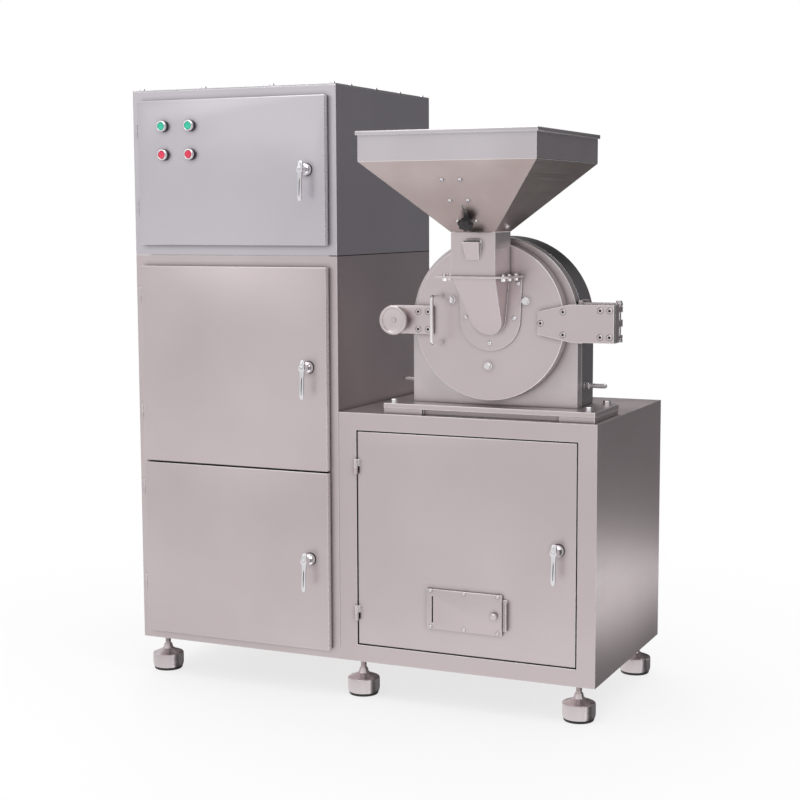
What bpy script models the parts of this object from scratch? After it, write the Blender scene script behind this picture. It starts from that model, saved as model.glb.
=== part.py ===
"""Dust-collecting hammer mill: a tall dust-collector cabinet with an electrical box on top,
and beside it a low base cabinet that carries the mill, its hinged door and its feed hopper.

The machine frame has +X to the right, +Y to the back and +Z up. Its zero is the seam between
the two cabinets, on their front plane and underside. One empty moves that frame so that the
machine stands on the floor with its origin at the bottom centre of its bounding box.
"""
import math

import bmesh
import bpy
from mathutils import Matrix, Vector

# Driving dimensions, in metres
GAP = 0.0003            # between pieces that touch
SHEET = 0.003           # cabinet sheet
SKIN = 0.0025           # door sheet
FOOT_HEIGHT = 0.103     # floor to the underside of the cabinets

TALL_WIDTH = 0.630
TALL_DEPTH = 0.622
TALL_HEIGHT = 1.550
TALL_SPLIT = 1.097      # seam between the collector and the electrical box
LID_THICKNESS = 0.0025
LID_SCREW_HEIGHT = 0.0075

BASE_WIDTH = 0.724
BASE_DEPTH = 0.600
BASE_HEIGHT = 0.680
PARTITION_Y = 0.235     # wall between the receiving room and the motor room

DOOR_DEPTH = 0.022      # overlay doors of the tall cabinet
DOOR_LEFT = -0.603
DOOR_RIGHT = -0.023
OPENING_LEFT = -0.590
OPENING_RIGHT = -0.036
OPENING_INSET = 0.014   # door edge to opening edge, above and below
UPPER_DOOR = (1.124, 1.520)
MIDDLE_DOOR = (0.518, 1.067)
LOWER_DOOR = (0.025, 0.514)
TALL_HINGE_X = -0.610
TALL_HINGE_Y = -0.011

BASE_OPENING = (0.053, 0.674, 0.046, 0.633)     # left, right, bottom, top
BASE_DOOR_GAP = 0.003
BASE_DOOR_DEPTH = 0.018
BASE_HINGE_X = 0.054
BASE_HINGE_Y = -0.0068
DOOR_RIM = 0.016        # width of a door pan's folded edge

HANDLE_X = -0.077
BASE_HANDLE_X = 0.6235
LEVER_LENGTH = 0.084    # pivot to tip
LEVER_Y = 0.043         # lever's front, ahead of the door

MILL_X = 0.414
MILL_Z = 0.930
CASING_FRONT = 0.085
FLANGE_BACK = 0.119           # back of the casing's front flange
CASING_BACK = 0.218
CASING_HALF = 0.229           # half width of the casing
CASING_RISE = 0.219           # its arch above the shaft
CHAMBER_RADIUS = 0.190
BASE_PLATE = (0.125, 0.711, 0.020, 0.228)       # left, right, front, back
SPACER_TOP = 0.694
PLATE_TOP = 0.7075
DOOR_FRONT = 0.045
DISC_RADIUS = 0.206

NECK_HALF = 0.060
NECK_FRONT = -0.065
NECK_BOTTOM = 1.0503
NECK_TOP = 1.161
HOPPER_Y = -0.009
SKIRT_BOTTOM = 1.335
RIM_TOP = 1.409
RIM_HALF_X = 0.2375
RIM_HALF_Y = 0.2435
RIM_LIP = 0.005
WALL = 0.002            # hopper, neck and chute sheet

HINGE_X = 0.7445
HINGE_Y = 0.108
ARM_RIGHT = 0.754
CLAMP_X = 0.161
LUG_FRONT = 0.087
KNOB_Z = 1.195
GATE_TRAVEL = 0.043

SHAFT_RADIUS = 0.020
MILL_PULLEY_RADIUS = 0.042
MOTOR_PULLEY_RADIUS = 0.056
PULLEY_FRONT = 0.482
PULLEY_BACK = 0.530
MOTOR_Z = 0.150

FAN_X = -0.315
FAN_Z = 1.320

MACHINE_LEFT = -TALL_WIDTH
MACHINE_RIGHT = ARM_RIGHT
MACHINE_FRONT = HOPPER_Y - RIM_HALF_Y
MACHINE_BACK = TALL_DEPTH

X, Y, Z = Vector((1, 0, 0)), Vector((0, 1, 0)), Vector((0, 0, 1))


# ---------------------------------------------------------------- scene and materials

def clear_scene():
    for obj in list(bpy.data.objects):
        bpy.data.objects.remove(obj, do_unlink=True)


def new_collection(name):
    collection = bpy.data.collections.new(name)
    bpy.context.scene.collection.children.link(collection)
    return collection


def principled(name, colour, roughness, metallic):
    material = bpy.data.materials.new(name)
    material.use_nodes = True
    shader = material.node_tree.nodes["Principled BSDF"]
    shader.inputs["Base Color"].default_value = (*colour, 1.0)
    shader.inputs["Roughness"].default_value = roughness
    shader.inputs["Metallic"].default_value = metallic
    return material


clear_scene()
PARTS = new_collection("hammer_mill")
CUTTERS = new_collection("cutters")

STEEL = principled("brushed_steel", (0.62, 0.60, 0.60), 0.35, 1.0)
CHROME = principled("chrome", (0.80, 0.80, 0.82), 0.08, 1.0)
BLACK = principled("black_plastic", (0.02, 0.02, 0.02), 0.45, 0.0)
RUBBER = principled("rubber", (0.03, 0.03, 0.03), 0.80, 0.0)
GREEN = principled("green_button", (0.02, 0.55, 0.35), 0.30, 0.0)
RED = principled("red_button", (0.75, 0.04, 0.08), 0.30, 0.0)
IRON = principled("machined_steel", (0.36, 0.36, 0.38), 0.40, 1.0)
PAINT = principled("motor_paint", (0.10, 0.16, 0.24), 0.45, 0.0)
FILTER = principled("filter_media", (0.80, 0.78, 0.70), 0.90, 0.0)


# ---------------------------------------------------------------- shape helpers

def place(obj, material, parent, location=(0, 0, 0), rotation=(0, 0, 0), collection=PARTS):
    """Link an object, give it its material and set it in its parent's frame."""
    collection.objects.link(obj)
    if material:
        obj.data.materials.clear()
        obj.data.materials.append(material)
    obj.parent = parent
    obj.location = location
    obj.rotation_euler = rotation
    return obj


def empty(name, parent, location=(0, 0, 0), rotation=(0, 0, 0)):
    """An empty that stands on a joint's axis and carries what moves with it."""
    obj = bpy.data.objects.new(name, None)
    return place(obj, None, parent, location, rotation)


def from_bmesh(name, bm):
    mesh = bpy.data.meshes.new(name)
    bm.to_mesh(mesh)
    bm.free()
    return bpy.data.objects.new(name, mesh)


def smooth(obj, degrees=40):
    obj.data.shade_smooth()
    obj.data.set_sharp_from_angle(angle=math.radians(degrees))


def bevel(obj, width, segments=2):
    modifier = obj.modifiers.new("edges", "BEVEL")
    modifier.width = width
    modifier.segments = segments
    modifier.limit_method = "ANGLE"
    modifier.angle_limit = math.radians(40)


def box(name, low, high, material=None, parent=None, edge=0.0, collection=PARTS):
    """A box between two corners, with its origin at its centre."""
    low, high = Vector(low), Vector(high)
    bm = bmesh.new()
    bmesh.ops.create_cube(bm, size=1.0)
    bmesh.ops.scale(bm, vec=high - low, verts=bm.verts)
    obj = place(from_bmesh(name, bm), material, parent, (low + high) / 2, collection=collection)
    if edge:
        bevel(obj, edge)
    return obj


def facing(axis):
    """The rotation that turns +Z to an axis."""
    return Z.rotation_difference(Vector(axis)).to_euler()


def rod(name, start, end, radius, material=None, parent=None, sides=20, tip=None,
        collection=PARTS):
    """A round bar, or a cone when tip gives its second radius."""
    start, end = Vector(start), Vector(end)
    bm = bmesh.new()
    bmesh.ops.create_cone(bm, cap_ends=True, segments=sides, radius1=radius,
                          radius2=radius if tip is None else tip, depth=(end - start).length)
    obj = from_bmesh(name, bm)
    smooth(obj)
    return place(obj, material, parent, (start + end) / 2, facing(end - start), collection)


def turned(name, profile, origin, axis, material, parent, sides=16, ring=False):
    """A profile of (radius, height) points turned round an axis through origin."""
    bm = bmesh.new()
    points = [bm.verts.new((radius, 0, height)) for radius, height in profile]
    for first, second in zip(points, points[1:]):
        bm.edges.new((first, second))
    if ring:
        bm.edges.new((points[-1], points[0]))
    obj = place(from_bmesh(name, bm), material, parent, origin, facing(axis))
    modifier = obj.modifiers.new("turn", "SCREW")
    modifier.steps = sides
    modifier.render_steps = sides
    modifier.use_merge_vertices = True
    modifier.merge_threshold = 0.00001
    modifier.use_smooth_shade = True
    return obj


def outline_plate(name, outlines, thickness, material, parent, location=(0, 0, 0),
                  rotation=(0, 0, 0), collection=PARTS):
    """A flat outline, with any holes, as a closed mesh of the given thickness."""
    curve = bpy.data.curves.new(name, "CURVE")
    curve.dimensions = "2D"
    curve.fill_mode = "BOTH"
    curve.extrude = thickness / 2
    for outline in outlines:
        spline = curve.splines.new("POLY")
        spline.points.add(len(outline) - 1)
        for point, (u, v) in zip(spline.points, outline):
            point.co = (u, v, 0, 1)
        spline.use_cyclic_u = True
    flat = bpy.data.objects.new(name + "_outline", curve)
    return mesh_of(flat, name, material, parent, location, rotation, collection)


def mesh_of(source, name, material, parent, location=(0, 0, 0), rotation=(0, 0, 0),
            collection=PARTS):
    """Turn a curve object into a closed mesh object and remove the curve."""
    bpy.context.scene.collection.objects.link(source)
    bpy.context.view_layer.update()
    evaluated = source.evaluated_get(bpy.context.evaluated_depsgraph_get())
    mesh = bpy.data.meshes.new_from_object(evaluated)
    bm = bmesh.new()
    bm.from_mesh(mesh)
    bmesh.ops.remove_doubles(bm, verts=bm.verts, dist=0.00001)
    bmesh.ops.recalc_face_normals(bm, faces=bm.faces)
    bm.to_mesh(mesh)
    bm.free()
    bpy.data.objects.remove(source, do_unlink=True)
    mesh.name = name
    obj = bpy.data.objects.new(name, mesh)
    smooth(obj)
    return place(obj, material, parent, location, rotation, collection)


def pipe(name, points, radius, material, parent, collection=PARTS):
    """A round bar bent along a list of points."""
    curve = bpy.data.curves.new(name, "CURVE")
    curve.dimensions = "3D"
    curve.bevel_depth = radius
    curve.bevel_resolution = 2
    curve.use_fill_caps = True
    spline = curve.splines.new("POLY")
    spline.points.add(len(points) - 1)
    for point, position in zip(spline.points, points):
        point.co = (*position, 1)
    return mesh_of(bpy.data.objects.new(name + "_path", curve), name, material, parent,
                   collection=collection)


def arc(centre, radius, start, stop, steps):
    """Points along an arc, its angles in degrees."""
    angles = [math.radians(start + (stop - start) * step / steps) for step in range(steps + 1)]
    return [(centre[0] + radius * math.cos(a), centre[1] + radius * math.sin(a)) for a in angles]


def boolean(target, tool, operation):
    modifier = target.modifiers.new(tool.name, "BOOLEAN")
    modifier.operation = operation
    modifier.object = tool
    tool.hide_render = True
    tool.display_type = "WIRE"
    for collection in list(tool.users_collection):
        collection.objects.unlink(tool)
    CUTTERS.objects.link(tool)


def cut(target, *tools):
    for tool in tools:
        boolean(target, tool, "DIFFERENCE")


def weld(target, *tools):
    for tool in tools:
        boolean(target, tool, "UNION")


ROOT = empty("machine_frame", None, (-(MACHINE_LEFT + MACHINE_RIGHT) / 2,
                                     -(MACHINE_FRONT + MACHINE_BACK) / 2, FOOT_HEIGHT))


# ---------------------------------------------------------------- cabinets

def cavity(name, low, high, parent=ROOT):
    return box(name, low, high, None, parent, collection=CUTTERS)


def door_opening(name, door):
    return cavity(name, (OPENING_LEFT, -0.01, door[0] + OPENING_INSET),
                  (OPENING_RIGHT, SHEET + 0.01, door[1] - OPENING_INSET))


def round_hole(name, start, end, radius, parent=ROOT, sides=16):
    return rod(name, start, end, radius, None, parent, sides, collection=CUTTERS)


AIR_PORT = (0.150, 0.590)       # y and z of the air passage between the two cabinets
AIR_PORT_RADIUS = 0.045
CARTRIDGE_PLACE = (FAN_X, 0.370)
CARTRIDGE_RADIUS = 0.162
SHELF_Z = 0.513


def collector_cabinet():
    """Filter room above a dust-bin room, both open to the front."""
    left, right = -TALL_WIDTH + SHEET, -SHEET
    back = TALL_DEPTH - SHEET
    shell = box("collector_cabinet", (-TALL_WIDTH, 0, 0), (0, TALL_DEPTH, TALL_SPLIT - GAP),
                STEEL, ROOT)
    cut(shell,
        cavity("filter_room", (left, SHEET, SHELF_Z + SHEET), (right, back, TALL_SPLIT - SHEET)),
        cavity("bin_room", (left, SHEET, SHEET), (right, back, SHELF_Z)),
        door_opening("filter_opening", MIDDLE_DOOR),
        door_opening("bin_opening", LOWER_DOOR),
        cavity("dust_drop", (-0.515, 0.150, SHELF_Z - 0.01), (-0.115, 0.520, SHELF_Z + 0.01)),
        round_hole("air_inlet", (-0.02, *AIR_PORT), (0.02, *AIR_PORT), AIR_PORT_RADIUS))
    cut(shell, round_hole("clean_air", (*CARTRIDGE_PLACE, TALL_SPLIT - 0.02),
                          (*CARTRIDGE_PLACE, TALL_SPLIT + 0.02), 0.100, sides=20))
    return shell


def electrical_cabinet():
    """Control room in front, fan room behind a partition, lid on top."""
    left, right = -TALL_WIDTH + SHEET, -SHEET
    top = TALL_HEIGHT - LID_THICKNESS
    shell = box("electrical_cabinet", (-TALL_WIDTH, 0, TALL_SPLIT), (0, TALL_DEPTH, top - GAP),
                STEEL, ROOT)
    cut(shell,
        cavity("control_room", (left, SHEET, TALL_SPLIT + SHEET), (right, 0.200, top + 0.01)),
        cavity("fan_room", (left, 0.203, TALL_SPLIT + SHEET),
               (right, TALL_DEPTH - SHEET, top + 0.01)),
        door_opening("control_opening", UPPER_DOOR),
        cavity("fan_room_floor", (-0.500, 0.230, TALL_SPLIT - 0.01),
               (-0.130, 0.540, TALL_SPLIT + 0.01)),
        round_hole("exhaust_hole", (FAN_X, TALL_DEPTH - 0.02, FAN_Z),
                   (FAN_X, TALL_DEPTH + 0.02, FAN_Z), 0.1315, sides=24))
    return shell


def cabinet_lid():
    """Flat lid, its edge held by dome-head screws."""
    lid = box("cabinet_lid", (-TALL_WIDTH, 0, TALL_HEIGHT - LID_THICKNESS),
              (0, TALL_DEPTH, TALL_HEIGHT), STEEL, ROOT)
    inset = 0.018
    places = [(x, y) for x in (-0.610, -0.411, -0.200, -inset) for y in (inset, TALL_DEPTH - inset)]
    places += [(x, y) for x in (-TALL_WIDTH + inset, -inset) for y in (0.122, 0.282, 0.443)]
    dome = [(0, LID_SCREW_HEIGHT), (0.0042, LID_SCREW_HEIGHT - 0.0012),
            (0.0068, LID_SCREW_HEIGHT - 0.0040), (0.0078, 0.0002), (0.0078, -0.001), (0, -0.001)]
    for number, (x, y) in enumerate(places):
        weld(lid, turned(f"lid_screw_{number}", dome, (x, y, TALL_HEIGHT), Z, STEEL, ROOT, 8))


def base_cabinet():
    """Receiving room behind the front door, motor room behind the partition."""
    left, right = GAP + SHEET, BASE_WIDTH - SHEET
    top = BASE_HEIGHT - SHEET
    opening_left, opening_right, opening_bottom, opening_top = BASE_OPENING
    shell = box("base_cabinet", (GAP, 0, 0), (BASE_WIDTH, BASE_DEPTH, BASE_HEIGHT), STEEL, ROOT)
    cut(shell,
        cavity("receiving_room", (left, SHEET, SHEET), (right, PARTITION_Y, top)),
        cavity("motor_room", (left, PARTITION_Y + SHEET, SHEET),
               (right, BASE_DEPTH - SHEET, top)),
        cavity("front_opening", (opening_left, -0.01, opening_bottom),
               (opening_right, SHEET + 0.01, opening_top)),
        cavity("product_opening", (MILL_X - 0.070, 0.110, top - 0.01),
               (MILL_X + 0.070, 0.180, BASE_HEIGHT + 0.01)),
        cavity("belt_opening", (MILL_X - 0.056, PULLEY_FRONT - 0.006, top - 0.01),
               (MILL_X + 0.056, PULLEY_BACK + 0.006, BASE_HEIGHT + 0.01)),
        round_hole("base_air_inlet", (-0.02, *AIR_PORT), (0.02, *AIR_PORT), AIR_PORT_RADIUS))
    return shell


def bin_tray(name, low, high):
    """An open-topped sheet bin."""
    wall = 0.002
    tray = box(name, low, high, STEEL, ROOT)
    inner_low = Vector(low) + Vector((wall, wall, wall))
    inner_high = Vector(high) + Vector((-wall, -wall, wall))
    cut(tray, cavity(name + "_inside", inner_low, inner_high))


def levelling_feet():
    """Six steel cups on rubber pads, each hung on its stud."""
    pad, shoulder, neck = 0.007, 0.046, 0.072
    profile = [(0, FOOT_HEIGHT - GAP), (0.006, FOOT_HEIGHT - GAP), (0.006, neck),
               (0.014, neck - 0.002), (0.017, shoulder + 0.010), (0.036, shoulder + 0.003),
               (0.044, shoulder - 0.008), (0.044, pad), (0.041, pad), (0.041, 0), (0, 0)]
    places = {"tall_front": (-0.586, 0.055), "tall_back": (-0.586, 0.567),
              "middle_front": (0.047, 0.050), "middle_back": (0.047, 0.545),
              "base_front": (0.664, 0.055), "base_back": (0.673, 0.545)}
    for name, (x, y) in places.items():
        turned("foot_" + name, profile, (x, y, -FOOT_HEIGHT), Z, STEEL, ROOT, 12)


# ---------------------------------------------------------------- doors and handles

KNUCKLE_LENGTH = 0.020


def hinge(name, door, cabinet, x, y, z, radius, toward_door, toward_frame):
    """A weld-on hinge: the fixed half with its pin below, the door's half above it."""
    pin_radius = radius * 0.45
    low, middle, high = z - KNUCKLE_LENGTH, z, z + KNUCKLE_LENGTH
    profile = [(0, high - middle - 0.001), (pin_radius, high - middle - 0.001), (pin_radius, 0),
               (radius, 0), (radius, low - middle), (0, low - middle)]
    fixed = turned(name + "_fixed", profile, (x, y, middle - GAP), Z, STEEL, ROOT, 8)
    weld(cabinet, fixed, box(name + "_fixed_leaf", *toward_frame(low, middle - GAP), None, ROOT,
                             collection=CUTTERS))
    moving = rod(name + "_knuckle", (x, y, middle), (x, y, high), radius, None, ROOT, 8,
                 collection=CUTTERS)
    weld(door, moving,
         box(name + "_leaf", *toward_door(middle + 0.001, high - 0.001), None, ROOT,
             collection=CUTTERS))
    cut(door, rod(name + "_bore", (x, y, middle - 0.01), (x, y, high + 0.01),
                  pin_radius + 0.0006, None, ROOT, 8, collection=CUTTERS))


def on_axis(obj, axis_empty):
    """Move a ready piece under its joint's empty without moving it in the world."""
    obj.parent = axis_empty
    obj.matrix_parent_inverse = Matrix.Translation(-axis_empty.location)


def door_pan(name, low, high, material, axis_empty):
    """A folded sheet door: a flat front and four returned edges, open behind."""
    pan = box(name, low, high, material, ROOT, edge=0.003)
    rim = DOOR_RIM if high[1] > GAP else 0.004
    inner_low = (low[0] + rim, low[1] + SKIN, low[2] + rim)
    inner_high = (high[0] - rim, high[1] + 0.01, high[2] - rim)
    cut(pan, cavity(name + "_inside", inner_low, inner_high))
    on_axis(pan, axis_empty)
    return pan


def lever_handle(name, parent_empty, x, front, z, tongue_reach):
    """A chrome lever on a spindle through the door, with its latch tongue behind.

    The lever hangs down with the tongue released; a quarter turn swings the tongue
    sideways behind the frame.
    """
    axis_empty = empty(name + "_axis", parent_empty,
                       Vector((x, front, z)) - parent_empty.location)
    boss = turned(name, [(0, 0.0445), (0.010, 0.0440), (0.011, 0.022), (0.0150, 0.018),
                         (0.0165, 0.006), (0.0165, GAP), (0, GAP)], (0, 0, 0), -Y, CHROME,
                  axis_empty, 12)
    tip_radius, root_radius = 0.0055, 0.0085
    lever = rod(name + "_lever", (0, -LEVER_Y + 0.006, 0.014), (0, -LEVER_Y - 0.003, -LEVER_LENGTH),
                root_radius, None, axis_empty, 8, tip=tip_radius, collection=CUTTERS)
    heel = rod(name + "_heel", (0, -LEVER_Y + 0.006, 0.024), (0, -LEVER_Y + 0.006, -0.004),
               0.006, None, axis_empty, 8, tip=0.0088, collection=CUTTERS)
    spindle = rod(name + "_spindle", (0, -0.010, 0), (0, 0.0295, 0), 0.005, None, axis_empty, 8,
                  collection=CUTTERS)
    tongue = box(name + "_tongue", (-0.009, 0.0255, -tongue_reach), (0.009, 0.0290, 0.009),
                 None, axis_empty, collection=CUTTERS)
    weld(boss, lever, heel, spindle, tongue)
    return boss


def tall_door(name, cabinet, span, hinge_heights, handle_z):
    """One overlay door of the tall cabinet, with its hinges and lever."""
    bottom, top = span
    axis_empty = empty(name + "_axis", ROOT, (TALL_HINGE_X, TALL_HINGE_Y, 0))
    door = door_pan(name, (DOOR_LEFT, -DOOR_DEPTH, bottom), (DOOR_RIGHT, -GAP, top), STEEL,
                    axis_empty)
    cut(door, round_hole(name + "_spindle_hole", (HANDLE_X, -0.04, handle_z),
                         (HANDLE_X, 0.01, handle_z), 0.0065, sides=16))
    radius = 0.005

    def toward_door(low, high):
        return ((TALL_HINGE_X, TALL_HINGE_Y - 0.002, low),
                (DOOR_LEFT + 0.001, TALL_HINGE_Y + 0.002, high))

    def toward_frame(low, high):
        return ((TALL_HINGE_X - 0.003, TALL_HINGE_Y, low),
                (TALL_HINGE_X + 0.003, SHEET / 2, high))

    for number, z in enumerate(hinge_heights):
        hinge(f"{name}_hinge_{number}", door, cabinet, TALL_HINGE_X, TALL_HINGE_Y, z, radius,
              toward_door, toward_frame)
    lever_handle(name.replace("door", "handle"), axis_empty, HANDLE_X, -DOOR_DEPTH, handle_z,
                 0.050)
    return axis_empty, door


def push_buttons(axis_empty, door):
    """Two green buttons that start the machine and two red ones that stop it."""
    buttons = (("start_button_left", GREEN, -0.518, 1.449),
               ("start_button_right", GREEN, -0.432, 1.449),
               ("stop_button_left", RED, -0.517, 1.3715),
               ("stop_button_right", RED, -0.432, 1.3715))
    for name, material, x, z in buttons:
        cut(door, round_hole(name + "_hole", (x, -0.04, z), (x, 0.01, z), 0.0115, sides=12))
        button_axis = empty(name + "_axis", axis_empty,
                            Vector((x, -DOOR_DEPTH, z)) - axis_empty.location)
        turned(name, [(0, 0.0185), (0.0085, 0.0180), (0.0105, 0.0165), (0.0105, -0.012),
                      (0, -0.012)], (0, 0, 0), -Y, material, button_axis, 12)


def base_door(cabinet):
    """Inset door of the base cabinet, with its shutter."""
    opening_left, opening_right, opening_bottom, opening_top = BASE_OPENING
    axis_empty = empty("base_door_axis", ROOT, (BASE_HINGE_X, BASE_HINGE_Y, 0))
    low = (opening_left + BASE_DOOR_GAP, 0, opening_bottom + BASE_DOOR_GAP)
    high = (opening_right - BASE_DOOR_GAP, BASE_DOOR_DEPTH, opening_top - BASE_DOOR_GAP)
    door = door_pan("base_door", low, high, STEEL, axis_empty)
    handle_z = 0.352
    window = SHUTTER["window"]
    cut(door,
        round_hole("base_spindle_hole", (BASE_HANDLE_X, -0.02, handle_z),
                   (BASE_HANDLE_X, 0.03, handle_z), 0.0065, sides=16),
        cavity("shutter_window", (window[0], -0.01, window[2]), (window[1], 0.01, window[3])))

    def toward_door(bottom, top):
        return ((BASE_HINGE_X, BASE_HINGE_Y + 0.001, bottom),
                (BASE_HINGE_X + 0.010, 0.002, top))

    def toward_frame(bottom, top):
        return ((BASE_HINGE_X - 0.010, BASE_HINGE_Y + 0.001, bottom),
                (BASE_HINGE_X - 0.003, SHEET / 2, top))

    for number, z in enumerate((0.136, 0.536)):
        hinge(f"base_hinge_{number}", door, cabinet, BASE_HINGE_X, BASE_HINGE_Y, z, 0.006,
              toward_door, toward_frame)
    lever_handle("base_handle", axis_empty, BASE_HANDLE_X, 0, handle_z, 0.062)
    shutter(axis_empty)


SHUTTER = {"plate": (0.259, 0.4735, 0.113, 0.222), "window": (0.285, 0.445, 0.135, 0.200),
           "travel": 0.120}


def shutter(door_empty):
    """A sliding shutter in a raised guide plate over the window in the base door."""
    left, right, bottom, top = SHUTTER["plate"]
    window_left, window_right, window_bottom, window_top = SHUTTER["window"]
    front, channel = -0.008, -0.0045
    frame = box("shutter_frame", (left, front, bottom), (right, -GAP, top), STEEL, ROOT,
                edge=0.0015)
    cut(frame,
        cavity("shutter_channel", (left + 0.014, channel, bottom + 0.012),
               (right + 0.01, 0.01, top - 0.012)),
        cavity("shutter_slit", (left + 0.016, -0.02, window_bottom - 0.004),
               (left + 0.020, 0.01, window_top + 0.003)))
    on_axis(frame, door_empty)
    slide_axis = empty("shutter_slide_axis", door_empty,
                       Vector((right, -0.0025, (bottom + top) / 2)) - door_empty.location)
    low_z, high_z = bottom + 0.0125 - (bottom + top) / 2, top - 0.0125 - (bottom + top) / 2
    blade = box("shutter_slide", (window_left - 0.004 - right, -0.0013, low_z),
                (0.0135, 0.0013, high_z), STEEL, slide_axis)
    weld(blade, box("shutter_tab", (0.0115, -0.012, low_z + 0.004), (0.0135, 0.0013, high_z - 0.004),
                    None, slide_axis, collection=CUTTERS))
    knob_axis = empty("shutter_knob_axis", door_empty,
                      Vector((0.454, front, 0.1665)) - door_empty.location)
    turned("shutter_knob", [(0, 0.0180), (0.0068, 0.0175), (0.0090, 0.0155), (0.0090, 0.0070),
                            (0.0045, 0.0060), (0.0045, GAP), (0, GAP)], (0, 0, 0), -Y, STEEL,
           knob_axis, 14)


# ---------------------------------------------------------------- inside the cabinets

def filter_cartridge():
    """A pleated cartridge that hangs from the filter room's roof."""
    length, mouth = 0.350, 0.105
    turned("filter_cartridge", [(0, -length + 0.006), (mouth, -length + 0.006), (mouth, 0),
                                (CARTRIDGE_RADIUS, 0), (CARTRIDGE_RADIUS, -length), (0, -length)],
           (*CARTRIDGE_PLACE, TALL_SPLIT - SHEET - GAP), Z, FILTER, ROOT, 24)


def suction_fan():
    """A drum housing open to the back, its motor in front and the wheel inside."""
    back, front = TALL_DEPTH, 0.440
    turned("fan_housing", [(0.130, back - front), (0.130, 0), (0.090, 0), (0.090, 0.003),
                           (0.127, 0.003), (0.127, back - front)],
           (FAN_X, front, FAN_Z), Y, STEEL, ROOT, 24, ring=True)
    turned("fan_motor", [(0, 0.195), (0.012, 0.195), (0.012, 0.180), (0.060, 0.178),
                         (0.064, 0.165), (0.064, 0.012), (0.085, 0.012), (0.085, GAP), (0, GAP)],
           (FAN_X, 0.203, FAN_Z), Y, PAINT, ROOT, 16)
    axis_empty = empty("fan_impeller_axis", ROOT, (FAN_X, 0.500, FAN_Z))
    wheel = turned("fan_impeller", [(0, 0.090), (0.022, 0.090), (0.022, 0.004), (0.115, 0.004),
                                    (0.115, 0), (0.010, 0), (0.010, -0.1015), (0, -0.1015)],
                   (0, 0, 0), Y, IRON, axis_empty, 20)
    blades = 6
    for number in range(blades):
        turn = Matrix.Rotation(2 * math.pi * number / blades, 4, "Y")
        blade = box(f"fan_blade_{number}", (0.020, 0.002, -0.0015), (0.112, 0.060, 0.0015), None,
                    axis_empty, collection=CUTTERS)
        blade.location = turn @ blade.location
        blade.rotation_euler = turn.to_euler()
        weld(wheel, blade)


def receiving_parts():
    """The spout under the table and the bin that it fills."""
    top = BASE_HEIGHT - SHEET - GAP
    spout = box("outlet_spout", (MILL_X - 0.095, 0.085, top - 0.004),
                (MILL_X + 0.095, 0.205, top), STEEL, ROOT)
    weld(spout, box("spout_tube", (MILL_X - 0.075, 0.105, 0.500), (MILL_X + 0.075, 0.185, top - 0.002),
                    None, ROOT, collection=CUTTERS))
    cut(spout, cavity("spout_inside", (MILL_X - 0.073, 0.107, 0.480),
                      (MILL_X + 0.073, 0.183, top + 0.01)))
    bin_tray("receiving_bin", (0.120, 0.030, SHEET + GAP), (0.640, 0.225, 0.300))


def drive():
    """Motor, pulleys and the banded belt up to the mill shaft."""
    motor_front = 0.246
    body = rod("motor", (MILL_X, motor_front, MOTOR_Z), (MILL_X, 0.462, MOTOR_Z), 0.088, PAINT,
               ROOT, 28)
    weld(body,
         box("motor_feet", (MILL_X - 0.095, 0.290, SHEET + GAP), (MILL_X + 0.095, 0.420, 0.090),
             None, ROOT, collection=CUTTERS),
         box("motor_terminal_box", (MILL_X + 0.030, 0.300, MOTOR_Z), (MILL_X + 0.120, 0.390, 0.215),
             None, ROOT, collection=CUTTERS))
    cut(body, cavity("motor_feet_arch", (MILL_X - 0.060, 0.28, -0.01), (MILL_X + 0.060, 0.43, 0.040)),
        round_hole("motor_bore", (MILL_X, 0.400, MOTOR_Z), (MILL_X, 0.48, MOTOR_Z), 0.0155, sides=16))
    pulley("motor_pulley", MOTOR_Z, MOTOR_PULLEY_RADIUS, 0.014, 0.410, PULLEY_BACK + 0.010)
    belt()


BELT_Y = 0.506
BELT_WIDTH = 0.030
BELT_THICKNESS = 0.0080
GROOVE_DEPTH = 0.0070


def pulley(name, z, radius, shaft_radius, shaft_start, shaft_end):
    """A grooved pulley on its own length of shaft."""
    axis_empty = empty(name + "_axis", ROOT, (MILL_X, BELT_Y, z))
    middle, half = BELT_Y, BELT_WIDTH / 2 + 0.001
    profile = [(0, shaft_end - middle), (shaft_radius, shaft_end - middle),
               (shaft_radius, PULLEY_BACK - middle), (radius, PULLEY_BACK - middle)]
    profile += [(radius, half), (radius - GROOVE_DEPTH, half), (radius - GROOVE_DEPTH, -half),
                (radius, -half)]
    profile += [(radius, PULLEY_FRONT - middle), (shaft_radius, PULLEY_FRONT - middle),
                (shaft_radius, shaft_start - middle), (0, shaft_start - middle)]
    return turned(name, profile, (0, 0, 0), Y, IRON, axis_empty, 14), axis_empty


def belt():
    """The banded belt, a closed loop round both pulleys."""
    inner_top = MILL_PULLEY_RADIUS - GROOVE_DEPTH + 0.0010
    inner_low = MOTOR_PULLEY_RADIUS - GROOVE_DEPTH + 0.0010
    lean = math.degrees(math.asin((inner_low - inner_top) / (MILL_Z - MOTOR_Z)))

    def loop(extra):
        return (arc((0, MILL_Z), inner_top + extra, lean, 180 - lean, 12)
                + arc((0, MOTOR_Z), inner_low + extra, 180 - lean, 360 + lean, 12))

    return outline_plate("drive_belt", [loop(BELT_THICKNESS), loop(0)], BELT_WIDTH, RUBBER, ROOT,
                         (MILL_X, BELT_Y, 0), (math.radians(90), 0, 0))


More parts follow.
